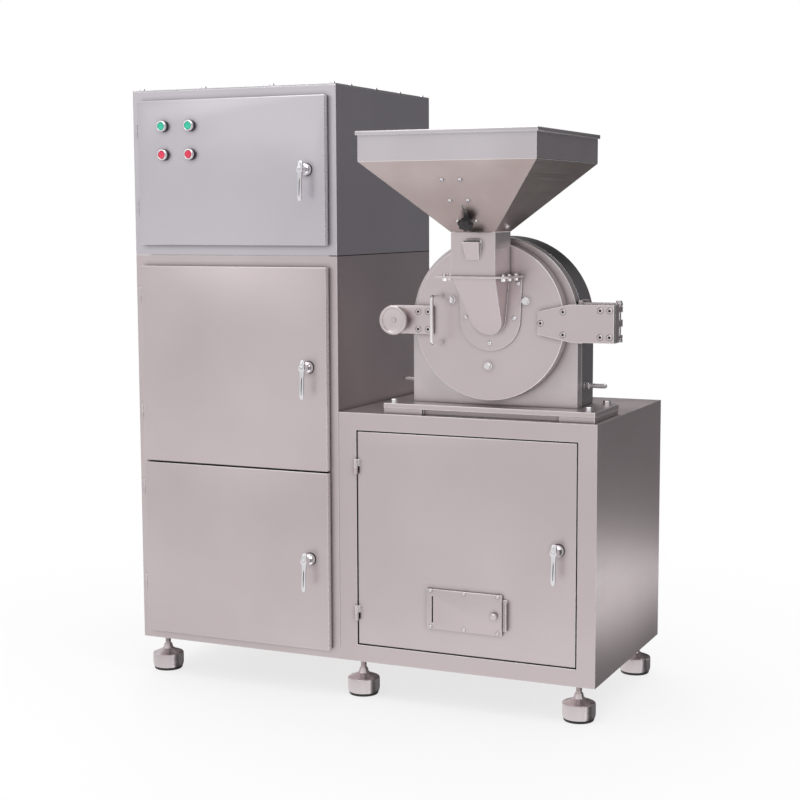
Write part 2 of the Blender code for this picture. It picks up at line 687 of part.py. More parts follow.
def belt_guard():
    """A sheet cover over the upper pulley, open below."""
    half, front, back, top = 0.059, 0.4650, 0.5600, MILL_Z + 0.062
    guard = box("belt_guard", (MILL_X - half, front, BASE_HEIGHT + GAP), (MILL_X + half, back, top),
                STEEL, ROOT, edge=0.003)
    cut(guard,
        cavity("guard_inside", (MILL_X - half + WALL, front + WALL, BASE_HEIGHT - 0.02),
               (MILL_X + half - WALL, back - WALL, top - WALL)),
        round_hole("guard_shaft_hole", (MILL_X, front - 0.02, MILL_Z),
                   (MILL_X, front + 0.01, MILL_Z), 0.026, sides=20))


# ---------------------------------------------------------------- mill

def mill_base():
    """Base plate welded on its two end blocks."""
    left, right, front, back = BASE_PLATE
    plate = box("mill_base_plate", (left, front, SPACER_TOP), (right, back, PLATE_TOP), STEEL, ROOT)
    weld(plate,
         box("left_block", (left + 0.001, front + 0.001, BASE_HEIGHT + GAP),
             (left + 0.110, back - 0.001, SPACER_TOP + 0.002), None, ROOT, collection=CUTTERS),
         box("right_block", (right - 0.095, front + 0.001, BASE_HEIGHT + GAP),
             (right - 0.001, back - 0.001, SPACER_TOP + 0.002), None, ROOT, collection=CUTTERS),
         box("skirt_strip", (left + 0.108, 0.032, BASE_HEIGHT + GAP),
             (right - 0.093, 0.038, SPACER_TOP + 0.002), None, ROOT, collection=CUTTERS))
    cut(plate, cavity("plate_product_opening", (MILL_X - 0.070, 0.110, 0.60),
                      (MILL_X + 0.070, 0.180, 0.80)))


def tombstone(inset, bottom):
    """Outline of the casing round the shaft: a flattened half circle on straight sides."""
    half, rise = CASING_HALF - inset, CASING_RISE - inset
    return ([(half * x, rise * z) for x, z in arc((0, 0), 1, 0, 180, 48)]
            + [(-half, bottom), (half, bottom)])


def mill_casing():
    """Casing with its chamber, product outlet, clamp lug and the jacket's water nozzles."""
    foot = PLATE_TOP + GAP - MILL_Z

    def shell(name, inset, bottom, front, back, collection=CUTTERS):
        return outline_plate(name, [tombstone(inset, bottom)], back - front, STEEL, ROOT,
                             (MILL_X, (front + back) / 2, MILL_Z), (math.radians(90), 0, 0),
                             collection)

    casing = shell("mill_casing", 0, foot, CASING_FRONT, FLANGE_BACK, PARTS)
    weld(casing, shell("casing_groove", 0.0025, foot + 0.0005, FLANGE_BACK - 0.002,
                       FLANGE_BACK + 0.004),
         shell("casing_shell", 0.0005, foot + 0.0002, FLANGE_BACK + 0.0025, CASING_BACK))
    lug_left = CLAMP_X - 0.022
    weld(casing, box("clamp_lug", (lug_left, LUG_FRONT, MILL_Z - 0.022),
                     (MILL_X - CASING_HALF + 0.004, LUG_FRONT + 0.040, MILL_Z + 0.022), None,
                     ROOT, collection=CUTTERS))
    for name, side in (("left_nozzle", -1), ("right_nozzle", 1)):
        weld(casing, turned(name, [(0, 0.058), (0.0045, 0.058), (0.0064, 0.052), (0.0058, 0.014),
                                   (0.0095, 0.012), (0.0095, -0.003), (0, -0.003)],
                            (MILL_X + side * CASING_HALF, 0.150, 0.762), X * side, None, ROOT, 10))
    back = CASING_BACK - CASING_FRONT
    cut(casing,
        turned("chamber", [(0, back + 0.01), (SHAFT_RADIUS + 0.003, back + 0.01),
                           (SHAFT_RADIUS + 0.003, back - 0.010), (CHAMBER_RADIUS, back - 0.010),
                           (CHAMBER_RADIUS, -0.01), (0, -0.01)],
               (MILL_X, CASING_FRONT, MILL_Z), Y, None, ROOT, 48),
        cavity("casing_outlet", (MILL_X - 0.070, 0.110, 0.60), (MILL_X + 0.070, 0.180, MILL_Z - 0.10)),
        round_hole("clamp_hole", (CLAMP_X, CASING_FRONT - 0.02, MILL_Z),
                   (CLAMP_X, LUG_FRONT + 0.030, MILL_Z), 0.0070, sides=12))


def ring_segment(name, outer, inner, start, stop, front, back, material):
    """Part of a ring round the shaft, between two angles."""
    steps = 12
    outline = arc((0, 0), outer, start, stop, steps) + arc((0, 0), inner, stop, start, steps)
    return outline_plate(name, [outline], back - front, material, ROOT,
                         (MILL_X, (front + back) / 2, MILL_Z), (math.radians(90), 0, 0))


def chamber_parts():
    """Breaker plate over the rotor and the screen under it."""
    front, back = CASING_FRONT + 0.014, CASING_BACK - 0.0105
    ring_segment("stator_ring", CHAMBER_RADIUS - 0.002, CHAMBER_RADIUS - 0.014, 20.5, 159.5,
                 front, back, IRON)
    ring_segment("screen", CHAMBER_RADIUS - 0.002, CHAMBER_RADIUS - 0.004, 161, 379, front, back,
                 STEEL)


def rotor():
    """Shaft with its two discs, four hammers between them, and the pulley."""
    pulley("mill_pulley", MILL_Z, MILL_PULLEY_RADIUS, SHAFT_RADIUS - 0.003, 0.470,
           PULLEY_BACK + 0.010)
    axis_empty = bpy.data.objects["mill_pulley_axis"]
    disc_radius, disc = 0.120, 0.008
    front_disc, back_disc = 0.112 - BELT_Y, 0.168 - BELT_Y
    turned("rotor", [(0, 0.469 - BELT_Y), (SHAFT_RADIUS, 0.469 - BELT_Y),
                     (SHAFT_RADIUS, back_disc + disc), (disc_radius, back_disc + disc),
                     (disc_radius, back_disc), (0.040, back_disc), (0.040, front_disc + disc),
                     (disc_radius, front_disc + disc), (disc_radius, front_disc),
                     (SHAFT_RADIUS, front_disc), (0.014, 0.098 - BELT_Y), (0, 0.098 - BELT_Y)],
           (0, 0, 0), Y, IRON, axis_empty, 24)
    for number in range(4):
        rotation = Matrix.Rotation(math.pi / 2 * number + math.pi / 4, 4, "Y")
        hammer = box(f"hammer_{number + 1}", (0.060, front_disc + disc + 0.001, -0.018),
                     (0.165, back_disc - 0.001, 0.018), IRON, axis_empty)
        hammer.location = rotation @ hammer.location
        hammer.rotation_euler = rotation.to_euler()


def bearing_housing():
    """Long bearing housing on a pedestal behind the casing."""
    front, back = CASING_BACK + GAP, 0.452
    housing = rod("bearing_housing", (MILL_X, front, MILL_Z), (MILL_X, back, MILL_Z), 0.055, STEEL,
                  ROOT, 28)
    weld(housing,
         box("pedestal", (MILL_X - 0.045, 0.270, BASE_HEIGHT + GAP), (MILL_X + 0.045, 0.400, MILL_Z),
             None, ROOT, collection=CUTTERS),
         box("pedestal_foot", (MILL_X - 0.090, 0.255, BASE_HEIGHT + GAP),
             (MILL_X + 0.090, 0.415, BASE_HEIGHT + 0.014), None, ROOT, collection=CUTTERS))
    cut(housing, round_hole("housing_bore", (MILL_X, front - 0.02, MILL_Z),
                            (MILL_X, back + 0.02, MILL_Z), SHAFT_RADIUS + 0.001, sides=20))


# ---------------------------------------------------------------- mill door

CHUTE_Z = 0.938                 # centre of the chute's round foot
CHUTE_SHIFT = 0.005             # the foot stands a little to the right of the shaft
CHUTE_HALF = 0.043
FLANGE_HALF = 0.084
FLANGE_PLATE = 0.004
FLANGE_TOP = NECK_BOTTOM - GAP


def u_outline(half, half_top, top):
    """A slot shape round end down, in X and Z from the shaft."""
    return ([(CHUTE_SHIFT + half_top, top)]
            + arc((CHUTE_SHIFT, CHUTE_Z - MILL_Z), half, 0, -180, 28)
            + [(CHUTE_SHIFT - half_top, top)])


def mill_door(axis_empty):
    """The round door, its feed opening and the boss that centres it in the chamber."""
    back = CASING_FRONT - GAP
    disc = turned("mill_door", [(0, back - DOOR_FRONT + 0.008), (0.183, back - DOOR_FRONT + 0.008),
                                (0.183, back - DOOR_FRONT), (DISC_RADIUS, back - DOOR_FRONT),
                                (DISC_RADIUS, 0), (0, 0)],
                  (MILL_X, DOOR_FRONT, MILL_Z), Y, STEEL, ROOT, 72)
    feed = outline_plate("feed_opening", [u_outline(CHUTE_HALF - WALL, CHUTE_HALF - WALL, 0.094)],
                         0.2, None, ROOT, (MILL_X, DOOR_FRONT, MILL_Z), (math.radians(90), 0, 0),
                         CUTTERS)
    cut(disc, feed)
    on_axis(disc, axis_empty)


def scoop(name, inset, top, material=None, collection=CUTTERS):
    """The chute's solid shape: tapering sides, a round foot and a front that leans back."""
    half_top, half_low = NECK_HALF - 0.001 - inset, CHUTE_HALF - inset
    outline = ([(half_top, top - MILL_Z)]
               + arc((CHUTE_SHIFT, CHUTE_Z - MILL_Z), half_low, 0, -180, 28)
               + [(-half_top, top - MILL_Z)])
    depth = DOOR_FRONT - GAP - NECK_FRONT
    front = NECK_FRONT + inset
    shape = outline_plate(name, [outline], depth + inset * 2, material, ROOT,
                          (MILL_X, front + depth / 2 + inset, MILL_Z), (math.radians(90), 0, 0),
                          collection)
    lean = box(name + "_lean", (MILL_X - 0.2, -0.4, -0.3), (MILL_X + 0.2, 0, 0.3), None, ROOT,
               collection=CUTTERS)
    angle = math.atan2(0.101, 0.156)
    lean.location = (Vector((MILL_X, front, FLANGE_TOP))
                     + Matrix.Rotation(angle, 3, "X") @ Vector((0, -0.2, 0)))
    lean.rotation_euler = (angle, 0, 0)
    cut(shape, lean)
    return shape


def inlet_chute(axis_empty):
    """Chute with its U flange on the door and the table flange that takes the neck."""
    top = FLANGE_TOP
    chute = scoop("inlet_chute", 0.0, top - 0.002, STEEL, PARTS)
    flange = outline_plate("chute_flange", [u_outline(FLANGE_HALF, FLANGE_HALF + 0.005,
                                                      top - 0.003 - MILL_Z)],
                           FLANGE_PLATE, None, ROOT,
                           (MILL_X, DOOR_FRONT - GAP - FLANGE_PLATE / 2, MILL_Z),
                           (math.radians(90), 0, 0), CUTTERS)
    table = box("chute_table", (MILL_X - 0.101, NECK_FRONT - 0.008, top - 0.005),
                (MILL_X + 0.099, DOOR_FRONT - GAP, top), None, ROOT, collection=CUTTERS)
    weld(chute, flange, table)
    cut(chute, scoop("chute_inside", WALL, top + 0.01))
    on_axis(chute, axis_empty)


def inlet_neck(axis_empty):
    """Square neck between the chute and the hopper, with its magnet pocket."""
    back = DOOR_FRONT - GAP
    neck = box("inlet_neck", (MILL_X - NECK_HALF, NECK_FRONT, NECK_BOTTOM),
               (MILL_X + NECK_HALF, back, NECK_TOP - GAP), STEEL, ROOT)
    cut(neck, cavity("neck_inside", (MILL_X - NECK_HALF + WALL, NECK_FRONT + WALL, 1.0),
                     (MILL_X + NECK_HALF - WALL, back - WALL, 1.2)))
    weld(neck, wedge("magnet_pocket", 0.0225, 0.0175, 0.022, 0.003, 1.0915, 1.137))
    cut(neck, wedge("pocket_inside", 0.0205, 0.0160, 0.0185, 0.001, 1.0960, 1.145))
    on_axis(neck, axis_empty)


def wedge(name, half_top, half_low, depth_top, depth_low, bottom, top):
    """A pocket shape on the neck's front: wide and deep above, narrow and flat below."""
    piece = box(name, (-1, 0, 0), (1, 1, 1), None, ROOT, collection=CUTTERS)
    piece.location = (MILL_X, NECK_FRONT, 0)
    for vertex in piece.data.vertices:
        upper = vertex.co.z > 0
        vertex.co.x = math.copysign(half_top if upper else half_low, vertex.co.x)
        vertex.co.y = -(depth_top if upper else depth_low) if vertex.co.y < 0 else 0.0010
        vertex.co.z = top if upper else bottom
    return piece


def hopper(axis_empty):
    """Tapering sheet hopper with a straight skirt and a rolled rim."""
    half_x, half_y = RIM_HALF_X - RIM_LIP, RIM_HALF_Y - RIM_LIP
    neck_y = (NECK_FRONT + DOOR_FRONT) / 2 - HOPPER_Y
    neck_half_y = (DOOR_FRONT - NECK_FRONT) / 2
    bm = bmesh.new()
    bmesh.ops.create_cube(bm, size=2.0)
    for vertex in bm.verts:
        upper = vertex.co.z > 0
        vertex.co.x *= half_x if upper else NECK_HALF
        vertex.co.y = vertex.co.y * (half_y if upper else neck_half_y) + (0 if upper else neck_y)
        vertex.co.z = SKIRT_BOTTOM if upper else NECK_TOP
    ends = [face for face in bm.faces if abs(face.normal.z) > 0.99]
    top_edges = [edge for edge in bm.edges if all(v.co.z > 1.3 for v in edge.verts)]
    bmesh.ops.delete(bm, geom=ends, context="FACES_ONLY")
    raised = bmesh.ops.extrude_edge_only(bm, edges=top_edges)["geom"]
    for vertex in [item for item in raised if isinstance(item, bmesh.types.BMVert)]:
        vertex.co.z = RIM_TOP - 0.001
    bmesh.ops.recalc_face_normals(bm, faces=bm.faces)
    shell = place(from_bmesh("hopper", bm), STEEL, ROOT, (MILL_X, HOPPER_Y, 0))
    modifier = shell.modifiers.new("sheet", "SOLIDIFY")
    modifier.thickness = WALL
    modifier.offset = -1.0
    modifier.use_even_offset = True
    rim = box("hopper_rim", (MILL_X - RIM_HALF_X, HOPPER_Y - RIM_HALF_Y, RIM_TOP - 0.010),
              (MILL_X + RIM_HALF_X, HOPPER_Y + RIM_HALF_Y, RIM_TOP), STEEL, ROOT, edge=0.0015)
    weld(shell, rim)
    cut(shell, cavity("rim_inside", (MILL_X - half_x + WALL, HOPPER_Y - half_y + WALL, 1.390),
                      (MILL_X + half_x - WALL, HOPPER_Y + half_y - WALL, 1.5)))
    on_axis(shell, axis_empty)
    return shell


def feed_gate(door_empty, shell):
    """The gate that slides under the hopper's front slope, clamped by a star knob."""
    top_y = HOPPER_Y - RIM_HALF_Y + RIM_LIP
    lean = math.atan2(NECK_FRONT - top_y, SKIRT_BOTTOM - NECK_TOP)
    knob_y = NECK_FRONT - (KNOB_Z - NECK_TOP) * math.tan(lean)
    slope = empty("feed_gate_axis", door_empty,
                  Vector((MILL_X, knob_y, KNOB_Z)) - door_empty.location, (lean, 0, 0))
    slot = box("gate_slot", (-0.0028, -0.02, -0.005), (0.0028, 0.02, GATE_TRAVEL + 0.005), None,
               slope, collection=CUTTERS)
    cut(shell, slot)
    plate = box("feed_gate", (-0.050, 0.0030, -0.101), (0.050, 0.0060, 0.055), STEEL, slope)
    weld(plate, rod("gate_stud", (0, 0.0045, 0), (0, -0.017, 0), 0.0022, None, slope, 12,
                    collection=CUTTERS))
    knob_axis = empty("gate_knob_axis", slope, (0, 0, 0))
    turned("gate_knob", [(0, 0.029), (0.012, 0.029), (0.020, 0.025), (0.020, 0.015),
                         (0.010, 0.011), (0.010, 0), (0.0028, 0), (0.0028, 0.018), (0, 0.018)],
           (0, -0.001, 0), -Y, BLACK, knob_axis, 14)


def door_fittings(axis_empty):
    """Pull handle, hinge arm with its block, and the clamp plate."""
    x, low, high, reach = 0.284, 0.873, 0.995, 0.070
    corner = 0.010
    front = DOOR_FRONT - reach
    points = [(x, DOOR_FRONT - GAP, low)]
    points += [(x, y, z) for y, z in arc((front + corner, low + corner), corner, 270, 180, 4)]
    points += [(x, y, z) for y, z in arc((front + corner, high - corner), corner, 180, 90, 4)]
    points += [(x, DOOR_FRONT - GAP, high)]
    pull = pipe("door_pull", points, 0.005, STEEL, ROOT)
    on_axis(pull, axis_empty)
    plate_thickness = 0.012
    arm_middle = DOOR_FRONT - GAP - plate_thickness / 2
    arm = outline_plate("hinge_arm", [[(0.552, 0.900), (0.640, 0.882), (ARM_RIGHT, 0.882),
                                       (ARM_RIGHT, 0.978), (0.635, 0.978), (0.552, 0.959)]],
                        plate_thickness, STEEL, ROOT, (0, arm_middle, 0),
                        (math.radians(90), 0, 0))
    on_axis(arm, axis_empty)
    block = box("hinge_block", (0.702, DOOR_FRONT, 0.8820), (ARM_RIGHT, 0.076, 0.9780), STEEL, ROOT)
    ears = ((0.8895, 0.8990), (0.9200, 0.9380), (0.9570, 0.9715))
    for number, (bottom, top) in enumerate(ears):
        weld(block,
             box(f"ear_web_{number}", (HINGE_X - 0.022, 0.070, bottom + 0.0003),
                 (HINGE_X + 0.0085, HINGE_Y, top - 0.0003), None, ROOT, collection=CUTTERS),
             rod(f"ear_{number}", (HINGE_X, HINGE_Y, bottom), (HINGE_X, HINGE_Y, top), 0.0095,
                 None, ROOT, 16, collection=CUTTERS))
    cut(block, round_hole("ear_bore", (HINGE_X, HINGE_Y, 0.85), (HINGE_X, HINGE_Y, 1.0), 0.0060,
                          sides=12))
    on_axis(block, axis_empty)
    clamp = box("clamp_plate", (CLAMP_X - 0.024, DOOR_FRONT - GAP - plate_thickness, 0.893),
                (0.261, DOOR_FRONT - GAP, 0.968), STEEL, ROOT, edge=0.0015)
    cut(clamp, round_hole("clamp_plate_hole", (CLAMP_X, 0, MILL_Z), (CLAMP_X, 0.1, MILL_Z), 0.0068,
                          sides=16))
    on_axis(clamp, axis_empty)


def hinge_bracket():
    """Fixed lugs on the casing's side, and the pin through them and the door's block."""
    side = MILL_X + CASING_HALF + GAP
    bracket = box("hinge_bracket", (side, 0.0880, 0.8750), (side + 0.010, 0.1500, 0.9865), STEEL,
                  ROOT)
    for name, bottom, top in (("lower", 0.8805, 0.8885), ("upper", 0.9730, 0.9810)):
        weld(bracket,
             box(name + "_lug_web", (side + 0.002, 0.0925, bottom + 0.0005),
                 (HINGE_X, HINGE_Y + 0.0085, top - 0.0005), None, ROOT, collection=CUTTERS),
             rod(name + "_lug", (HINGE_X, HINGE_Y, bottom), (HINGE_X, HINGE_Y, top), 0.0095, None,
                 ROOT, 16, collection=CUTTERS))
    cut(bracket, round_hole("bracket_bore", (HINGE_X, HINGE_Y, 0.85), (HINGE_X, HINGE_Y, 1.05),
                            0.0060, sides=12))
    turned("hinge_pin", [(0, 0.1060), (0.008, 0.1060), (0.008, 0.1015), (0.0055, 0.1015),
                         (0.0055, 0), (0, 0)], (HINGE_X, HINGE_Y, 0.8800), Z, STEEL, ROOT, 12)


def clamp_wheel(door_empty):
    """Hand wheel with its screw, which pulls the door shut."""
    plate_front = DOOR_FRONT - GAP - 0.012
    axis_empty = empty("hand_wheel_axis", door_empty,
                       Vector((CLAMP_X, plate_front, MILL_Z)) - door_empty.location)
    reach = LUG_FRONT - 0.0006 - plate_front
    turned("hand_wheel", [(0, 0.030), (0.009, 0.030), (0.012, 0.0270), (0.027, 0.0270),
                          (0.031, 0.0340), (0.037, 0.0340), (0.0395, 0.0300), (0.0395, 0.0200),
                          (0.036, 0.0160), (0.016, 0.0160), (0.013, GAP), (0.006, GAP),
                          (0.006, -reach + 0.003), (0.004, -reach), (0, -reach)],
           (0, 0, 0), -Y, STEEL, axis_empty, 20)


def mill_door_body():
    axis_empty = empty("mill_door_axis", ROOT, (HINGE_X, HINGE_Y, 0))
    mill_door(axis_empty)
    inlet_chute(axis_empty)
    inlet_neck(axis_empty)
    shell = hopper(axis_empty)
    feed_gate(axis_empty, shell)
    door_fittings(axis_empty)
    clamp_wheel(axis_empty)


# ---------------------------------------------------------------- build

def main():
    collector = collector_cabinet()
    electrical = electrical_cabinet()
    cabinet_lid()
    base = base_cabinet()
    levelling_feet()
    filter_cartridge()
    bin_tray("dust_bin", (-0.580, 0.036, SHEET + GAP), (-0.050, 0.590, 0.380))
    suction_fan()
    receiving_parts()
    drive()
    belt_guard()
    upper_axis, upper_door = tall_door("upper_door", electrical, UPPER_DOOR, (1.230, 1.440), 1.325)
    push_buttons(upper_axis, upper_door)
    tall_door("middle_door", collector, MIDDLE_DOOR, (0.655, 0.985), 0.799)
    tall_door("lower_door", collector, LOWER_DOOR, (0.165, 0.440), 0.276)
    base_door(base)
    mill_base()
    mill_casing()
    chamber_parts()
    rotor()
    bearing_housing()
    hinge_bracket()
    mill_door_body()


main()
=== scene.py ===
"""Looks of a dust-collecting hammer mill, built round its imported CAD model."""
import math

import bmesh
import bpy
from mathutils import Matrix, Vector


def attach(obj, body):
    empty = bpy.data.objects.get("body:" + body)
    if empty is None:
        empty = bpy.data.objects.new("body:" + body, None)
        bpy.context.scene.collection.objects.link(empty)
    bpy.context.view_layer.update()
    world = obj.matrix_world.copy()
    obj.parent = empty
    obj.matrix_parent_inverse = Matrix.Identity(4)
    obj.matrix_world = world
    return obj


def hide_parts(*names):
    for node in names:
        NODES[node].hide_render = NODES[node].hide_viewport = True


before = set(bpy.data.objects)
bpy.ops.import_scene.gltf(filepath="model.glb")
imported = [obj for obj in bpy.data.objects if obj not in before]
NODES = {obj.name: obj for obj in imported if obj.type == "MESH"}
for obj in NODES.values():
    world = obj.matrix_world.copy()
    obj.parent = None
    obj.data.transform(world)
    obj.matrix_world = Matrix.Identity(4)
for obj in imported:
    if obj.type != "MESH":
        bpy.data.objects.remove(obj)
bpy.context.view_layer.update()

# Positions below are given from the seam between the two cabinets (x), the cabinets' front
# face (y) and their underside (z), in metres. SHIFT takes them to the frame of the CAD model.
SHIFT = Vector((-0.062, -0.18475, 0.103))
X, Y, Z = Vector((1, 0, 0)), Vector((0, 1, 0)), Vector((0, 0, 1))

# Places that several pieces share, in the same frame.
FLOOR = -SHIFT.z
CABINET_DOOR_FRONT = -0.022     # the tall cabinet's doors stand proud of its front
MILL_X, MILL_Z = 0.414, 0.930   # the mill's shaft
ARM_FRONT = 0.0327              # hinge arm and clamp plate
BOLT_TABLE_TOP, BOLT_TABLE_UNDERSIDE = 1.0500, 1.0450
BASE_PLATE_TOP = 0.7075
LID_TOP = 1.5500


# ---------------------------------------------------------------- materials

EVEN = (1, 1, 1)                # noise that is not stretched
# The painted highlight along folds and edges: its colour, and the metallic and roughness it takes
# there.
EDGE_HIGHLIGHT_COLOUR = (0.99, 0.98, 0.985)
EDGE_METALLIC = 0.72
EDGE_ROUGHNESS = 0.55           # as a share of the sheet's own


class Nodes:
    """A node tree under construction."""

    def __init__(self, tree):
        self.tree = tree

    def node(self, kind, **settings):
        made = self.tree.nodes.new(kind)
        for key, value in settings.items():
            setattr(made, key, value)
        return made

    def link(self, output, target):
        self.tree.links.new(output, target)

    def remap(self, value, low, high, start=0.3, stop=0.7):
        """value from start..stop to low..high."""
        ramp = self.node("ShaderNodeMapRange")
        ramp.inputs["From Min"].default_value = start
        ramp.inputs["From Max"].default_value = stop
        ramp.inputs["To Min"].default_value = low
        ramp.inputs["To Max"].default_value = high
        self.link(value, ramp.inputs["Value"])
        return ramp.outputs["Result"]

    def along(self, space, axis):
        """One axis of a texture coordinate, such as the object's own place or normal."""
        place = self.node("ShaderNodeTexCoord")
        split = self.node("ShaderNodeSeparateXYZ")
        self.link(place.outputs[space], split.inputs[0])
        return split.outputs[axis]

    def math(self, operation, *values):
        """A math node; each value is a number or an output."""
        made = self.node("ShaderNodeMath", operation=operation)
        for value, socket in zip(values, made.inputs):
            if isinstance(value, float):
                socket.default_value = value
            else:
                self.link(value, socket)
        return made.outputs[0]


class Shader(Nodes):
    """A procedural material under construction: a Principled shader and its node tree."""

    def __init__(self, name, colour, roughness, metallic=0.0, **sockets):
        self.material = bpy.data.materials.new(name)
        self.material.use_nodes = True
        self.material.diffuse_color = (*colour, 1)
        super().__init__(self.material.node_tree)
        self.shader = self.tree.nodes["Principled BSDF"]
        self.round_normal = None
        self.shader.inputs["Base Color"].default_value = (*colour, 1)
        self.shader.inputs["Roughness"].default_value = roughness
        self.shader.inputs["Metallic"].default_value = metallic
        for key, value in sockets.items():
            self.shader.inputs[key.replace("_", " ")].default_value = value

    def noise(self, scale, stretch=EVEN, detail=4.0, rough=0.55):
        """Noise over the object's own coordinates, stretched along its axes."""
        place = self.node("ShaderNodeTexCoord")
        mapping = self.node("ShaderNodeMapping")
        mapping.inputs["Scale"].default_value = stretch
        texture = self.node("ShaderNodeTexNoise")
        texture.inputs["Scale"].default_value = scale
        texture.inputs["Detail"].default_value = detail
        texture.inputs["Roughness"].default_value = rough
        self.link(place.outputs["Object"], mapping.inputs["Vector"])
        self.link(mapping.outputs["Vector"], texture.inputs["Vector"])
        return texture.outputs["Fac"]

    def clouds(self, scale, stretch=EVEN):
        """Soft patches, from 0 to 1."""
        return self.remap(self.noise(scale, stretch, 3.0, 0.5), 0.0, 1.0, 0.35, 0.65)

    def mix(self, factor, first, second):
        """Mixes two colours, each a tuple or an output."""
        made = self.node("ShaderNodeMix", data_type="RGBA")
        self.link(factor, made.inputs[0])
        for value, socket in ((first, made.inputs[6]), (second, made.inputs[7])):
            if isinstance(value, tuple):
                socket.default_value = (*value, 1)
            else:
                self.link(value, socket)
        return made.outputs[2]

    def colour(self, output):
        self.link(output, self.shader.inputs["Base Color"])

    def rough(self, output):
        self.link(output, self.shader.inputs["Roughness"])

    def edge_mask(self, radius):
        """1 along an edge, falling to 0 about a radius away; bump() uses its rounded normal."""
        rounded = self.node("ShaderNodeBevel", samples=5)
        rounded.inputs["Radius"].default_value = radius
        self.round_normal = rounded.outputs["Normal"]
        flat = self.node("ShaderNodeNewGeometry")
        dot = self.node("ShaderNodeVectorMath", operation="DOT_PRODUCT")
        self.link(rounded.outputs["Normal"], dot.inputs[0])
        self.link(flat.outputs["Normal"], dot.inputs[1])
        return self.remap(dot.outputs["Value"], 1.0, 0.0, 0.78, 0.95)

    def right_side(self, most):
        """most on faces that look along the object's own +X, 0 elsewhere."""
        return self.remap(self.along("Normal", "X"), 0.0, most, 0.6, 0.95)

    def painted_crevice_shade(self, tone):
        """tone darkened by painted shade where another surface is close, as in seams and under
        screw heads.
        """
        near = self.node("ShaderNodeAmbientOcclusion", samples=4)
        near.inputs["Distance"].default_value = 0.016
        unshaded_share = self.remap(near.outputs["AO"], 0.30, 1.0, 0.30, 0.88)
        made = self.node("ShaderNodeMix", data_type="RGBA", blend_type="MULTIPLY")
        made.inputs[0].default_value = 1.0
        self.link(tone, made.inputs[6])
        self.link(unshaded_share, made.inputs[7])
        return made.outputs[2]

    def highlighted_sheet(self, tone, finish, edge_highlight):
        """Sets colour, metallic and roughness; the colour carries painted shade in crevices, and
        where the mask is 1 the sheet takes a painted highlight, bright and smooth.
        """
        self.colour(self.painted_crevice_shade(self.mix(edge_highlight, tone, EDGE_HIGHLIGHT_COLOUR)))
        self.link(self.remap(edge_highlight, 1.0, EDGE_METALLIC, 0.0, 1.0), self.shader.inputs["Metallic"])
        smoother = self.remap(edge_highlight, 1.0, EDGE_ROUGHNESS, 0.0, 1.0)
        self.rough(self.math("MULTIPLY", finish, smoother))

    def bump(self, height, strength, distance=0.001):
        made = self.node("ShaderNodeBump")
        made.inputs["Strength"].default_value = strength
        made.inputs["Distance"].default_value = distance
        self.link(height, made.inputs["Height"])
        if self.round_normal:
            self.link(self.round_normal, made.inputs["Normal"])
        self.link(made.outputs["Normal"], self.shader.inputs["Normal"])


def brushed(name, tones, roughness, grain, edge=0.0, painted_right_light=0.0):
    """Brushed stainless sheet: fine lines along one direction over cloudy handling marks.

    The last two arguments give the width of the painted highlight along folds and the strength of
    the painted light on the right-hand sides.
    """
    light, dark = tones
    made = Shader(name, light, roughness, 1.0)
    lines = made.noise(1.0, grain, 3.0, 0.6)
    tone = made.mix(made.clouds(2.3), dark, light)
    finish = made.remap(lines, roughness - 0.05, roughness + 0.07)
    if edge:
        edge_highlight = made.edge_mask(edge)
        # Faces looking along +X are whitened like the edges: painted light on the right-hand
        # sides.
        if painted_right_light:
            edge_highlight = made.math("MAXIMUM", edge_highlight, made.right_side(painted_right_light))
        made.highlighted_sheet(tone, finish, edge_highlight)
    else:
        made.colour(tone)
        made.rough(finish)
    made.bump(lines, 0.05, 0.0004)
    return made.material


LEVEL_GRAIN = (3, 3, 700)
WARM = (0.715, 0.635, 0.64), (0.65, 0.575, 0.58)
WARM_DOOR = (0.715, 0.640, 0.645), (0.66, 0.585, 0.59)
COOL = (0.70, 0.675, 0.715), (0.64, 0.615, 0.66)
COOL_DOOR = (0.69, 0.665, 0.705), (0.64, 0.615, 0.66)
TURNED_TONES = (0.76, 0.70, 0.70), (0.68, 0.62, 0.63)
IRON_TONES = (0.42, 0.42, 0.43), (0.34, 0.34, 0.35)

# The numbers after the grain are the width of the painted edge highlight and, where given, the
# strength of the painted light on right-hand sides.
SHEET = brushed("stainless_sheet", WARM, 0.36, LEVEL_GRAIN, 0.0036)
NECK_SHEET = brushed("stainless_neck", WARM, 0.36, LEVEL_GRAIN, 0.0044, 0.22)
DOOR_SHEET = brushed("stainless_door", WARM_DOOR, 0.36, LEVEL_GRAIN, 0.0042, 0.45)
UPPER_SHEET = brushed("stainless_upper", COOL, 0.35, LEVEL_GRAIN, 0.0045)
UPPER_DOOR = brushed("stainless_upper_door", COOL_DOOR, 0.35, LEVEL_GRAIN, 0.0042, 0.45)
TURNED = brushed("stainless_turned", TURNED_TONES, 0.30, (90, 700, 90))
IRON = brushed("machined_steel_grain", IRON_TONES, 0.42, (60, 500, 60))


def casing_steel():
    """The mill casing: a blasted front flange, and a smoother and darker shell behind it."""
    flange_back = -0.0657       # in the casing's own frame
    made = Shader("stainless_casing", (0.74, 0.72, 0.72), 0.40, 1.0)
    behind = made.remap(made.along("Object", "Y"), 0.0, 1.0, flange_back - 0.0005,
                        flange_back + 0.0005)
    clouds = made.clouds(9)
    front = made.mix(clouds, (0.64, 0.59, 0.59), (0.71, 0.655, 0.66))
    shell = made.mix(clouds, (0.36, 0.345, 0.355), (0.42, 0.405, 0.415))
    # Painted highlight along the edges and painted shade in crevices.
    made.highlighted_sheet(made.mix(behind, front, shell), made.remap(behind, 0.46, 0.27, 0.0, 1.0),
                    made.edge_mask(0.0036))
    made.bump(made.noise(420, EVEN, 2.0), 0.05, 0.0003)
    return made.material


CAST = casing_steel()


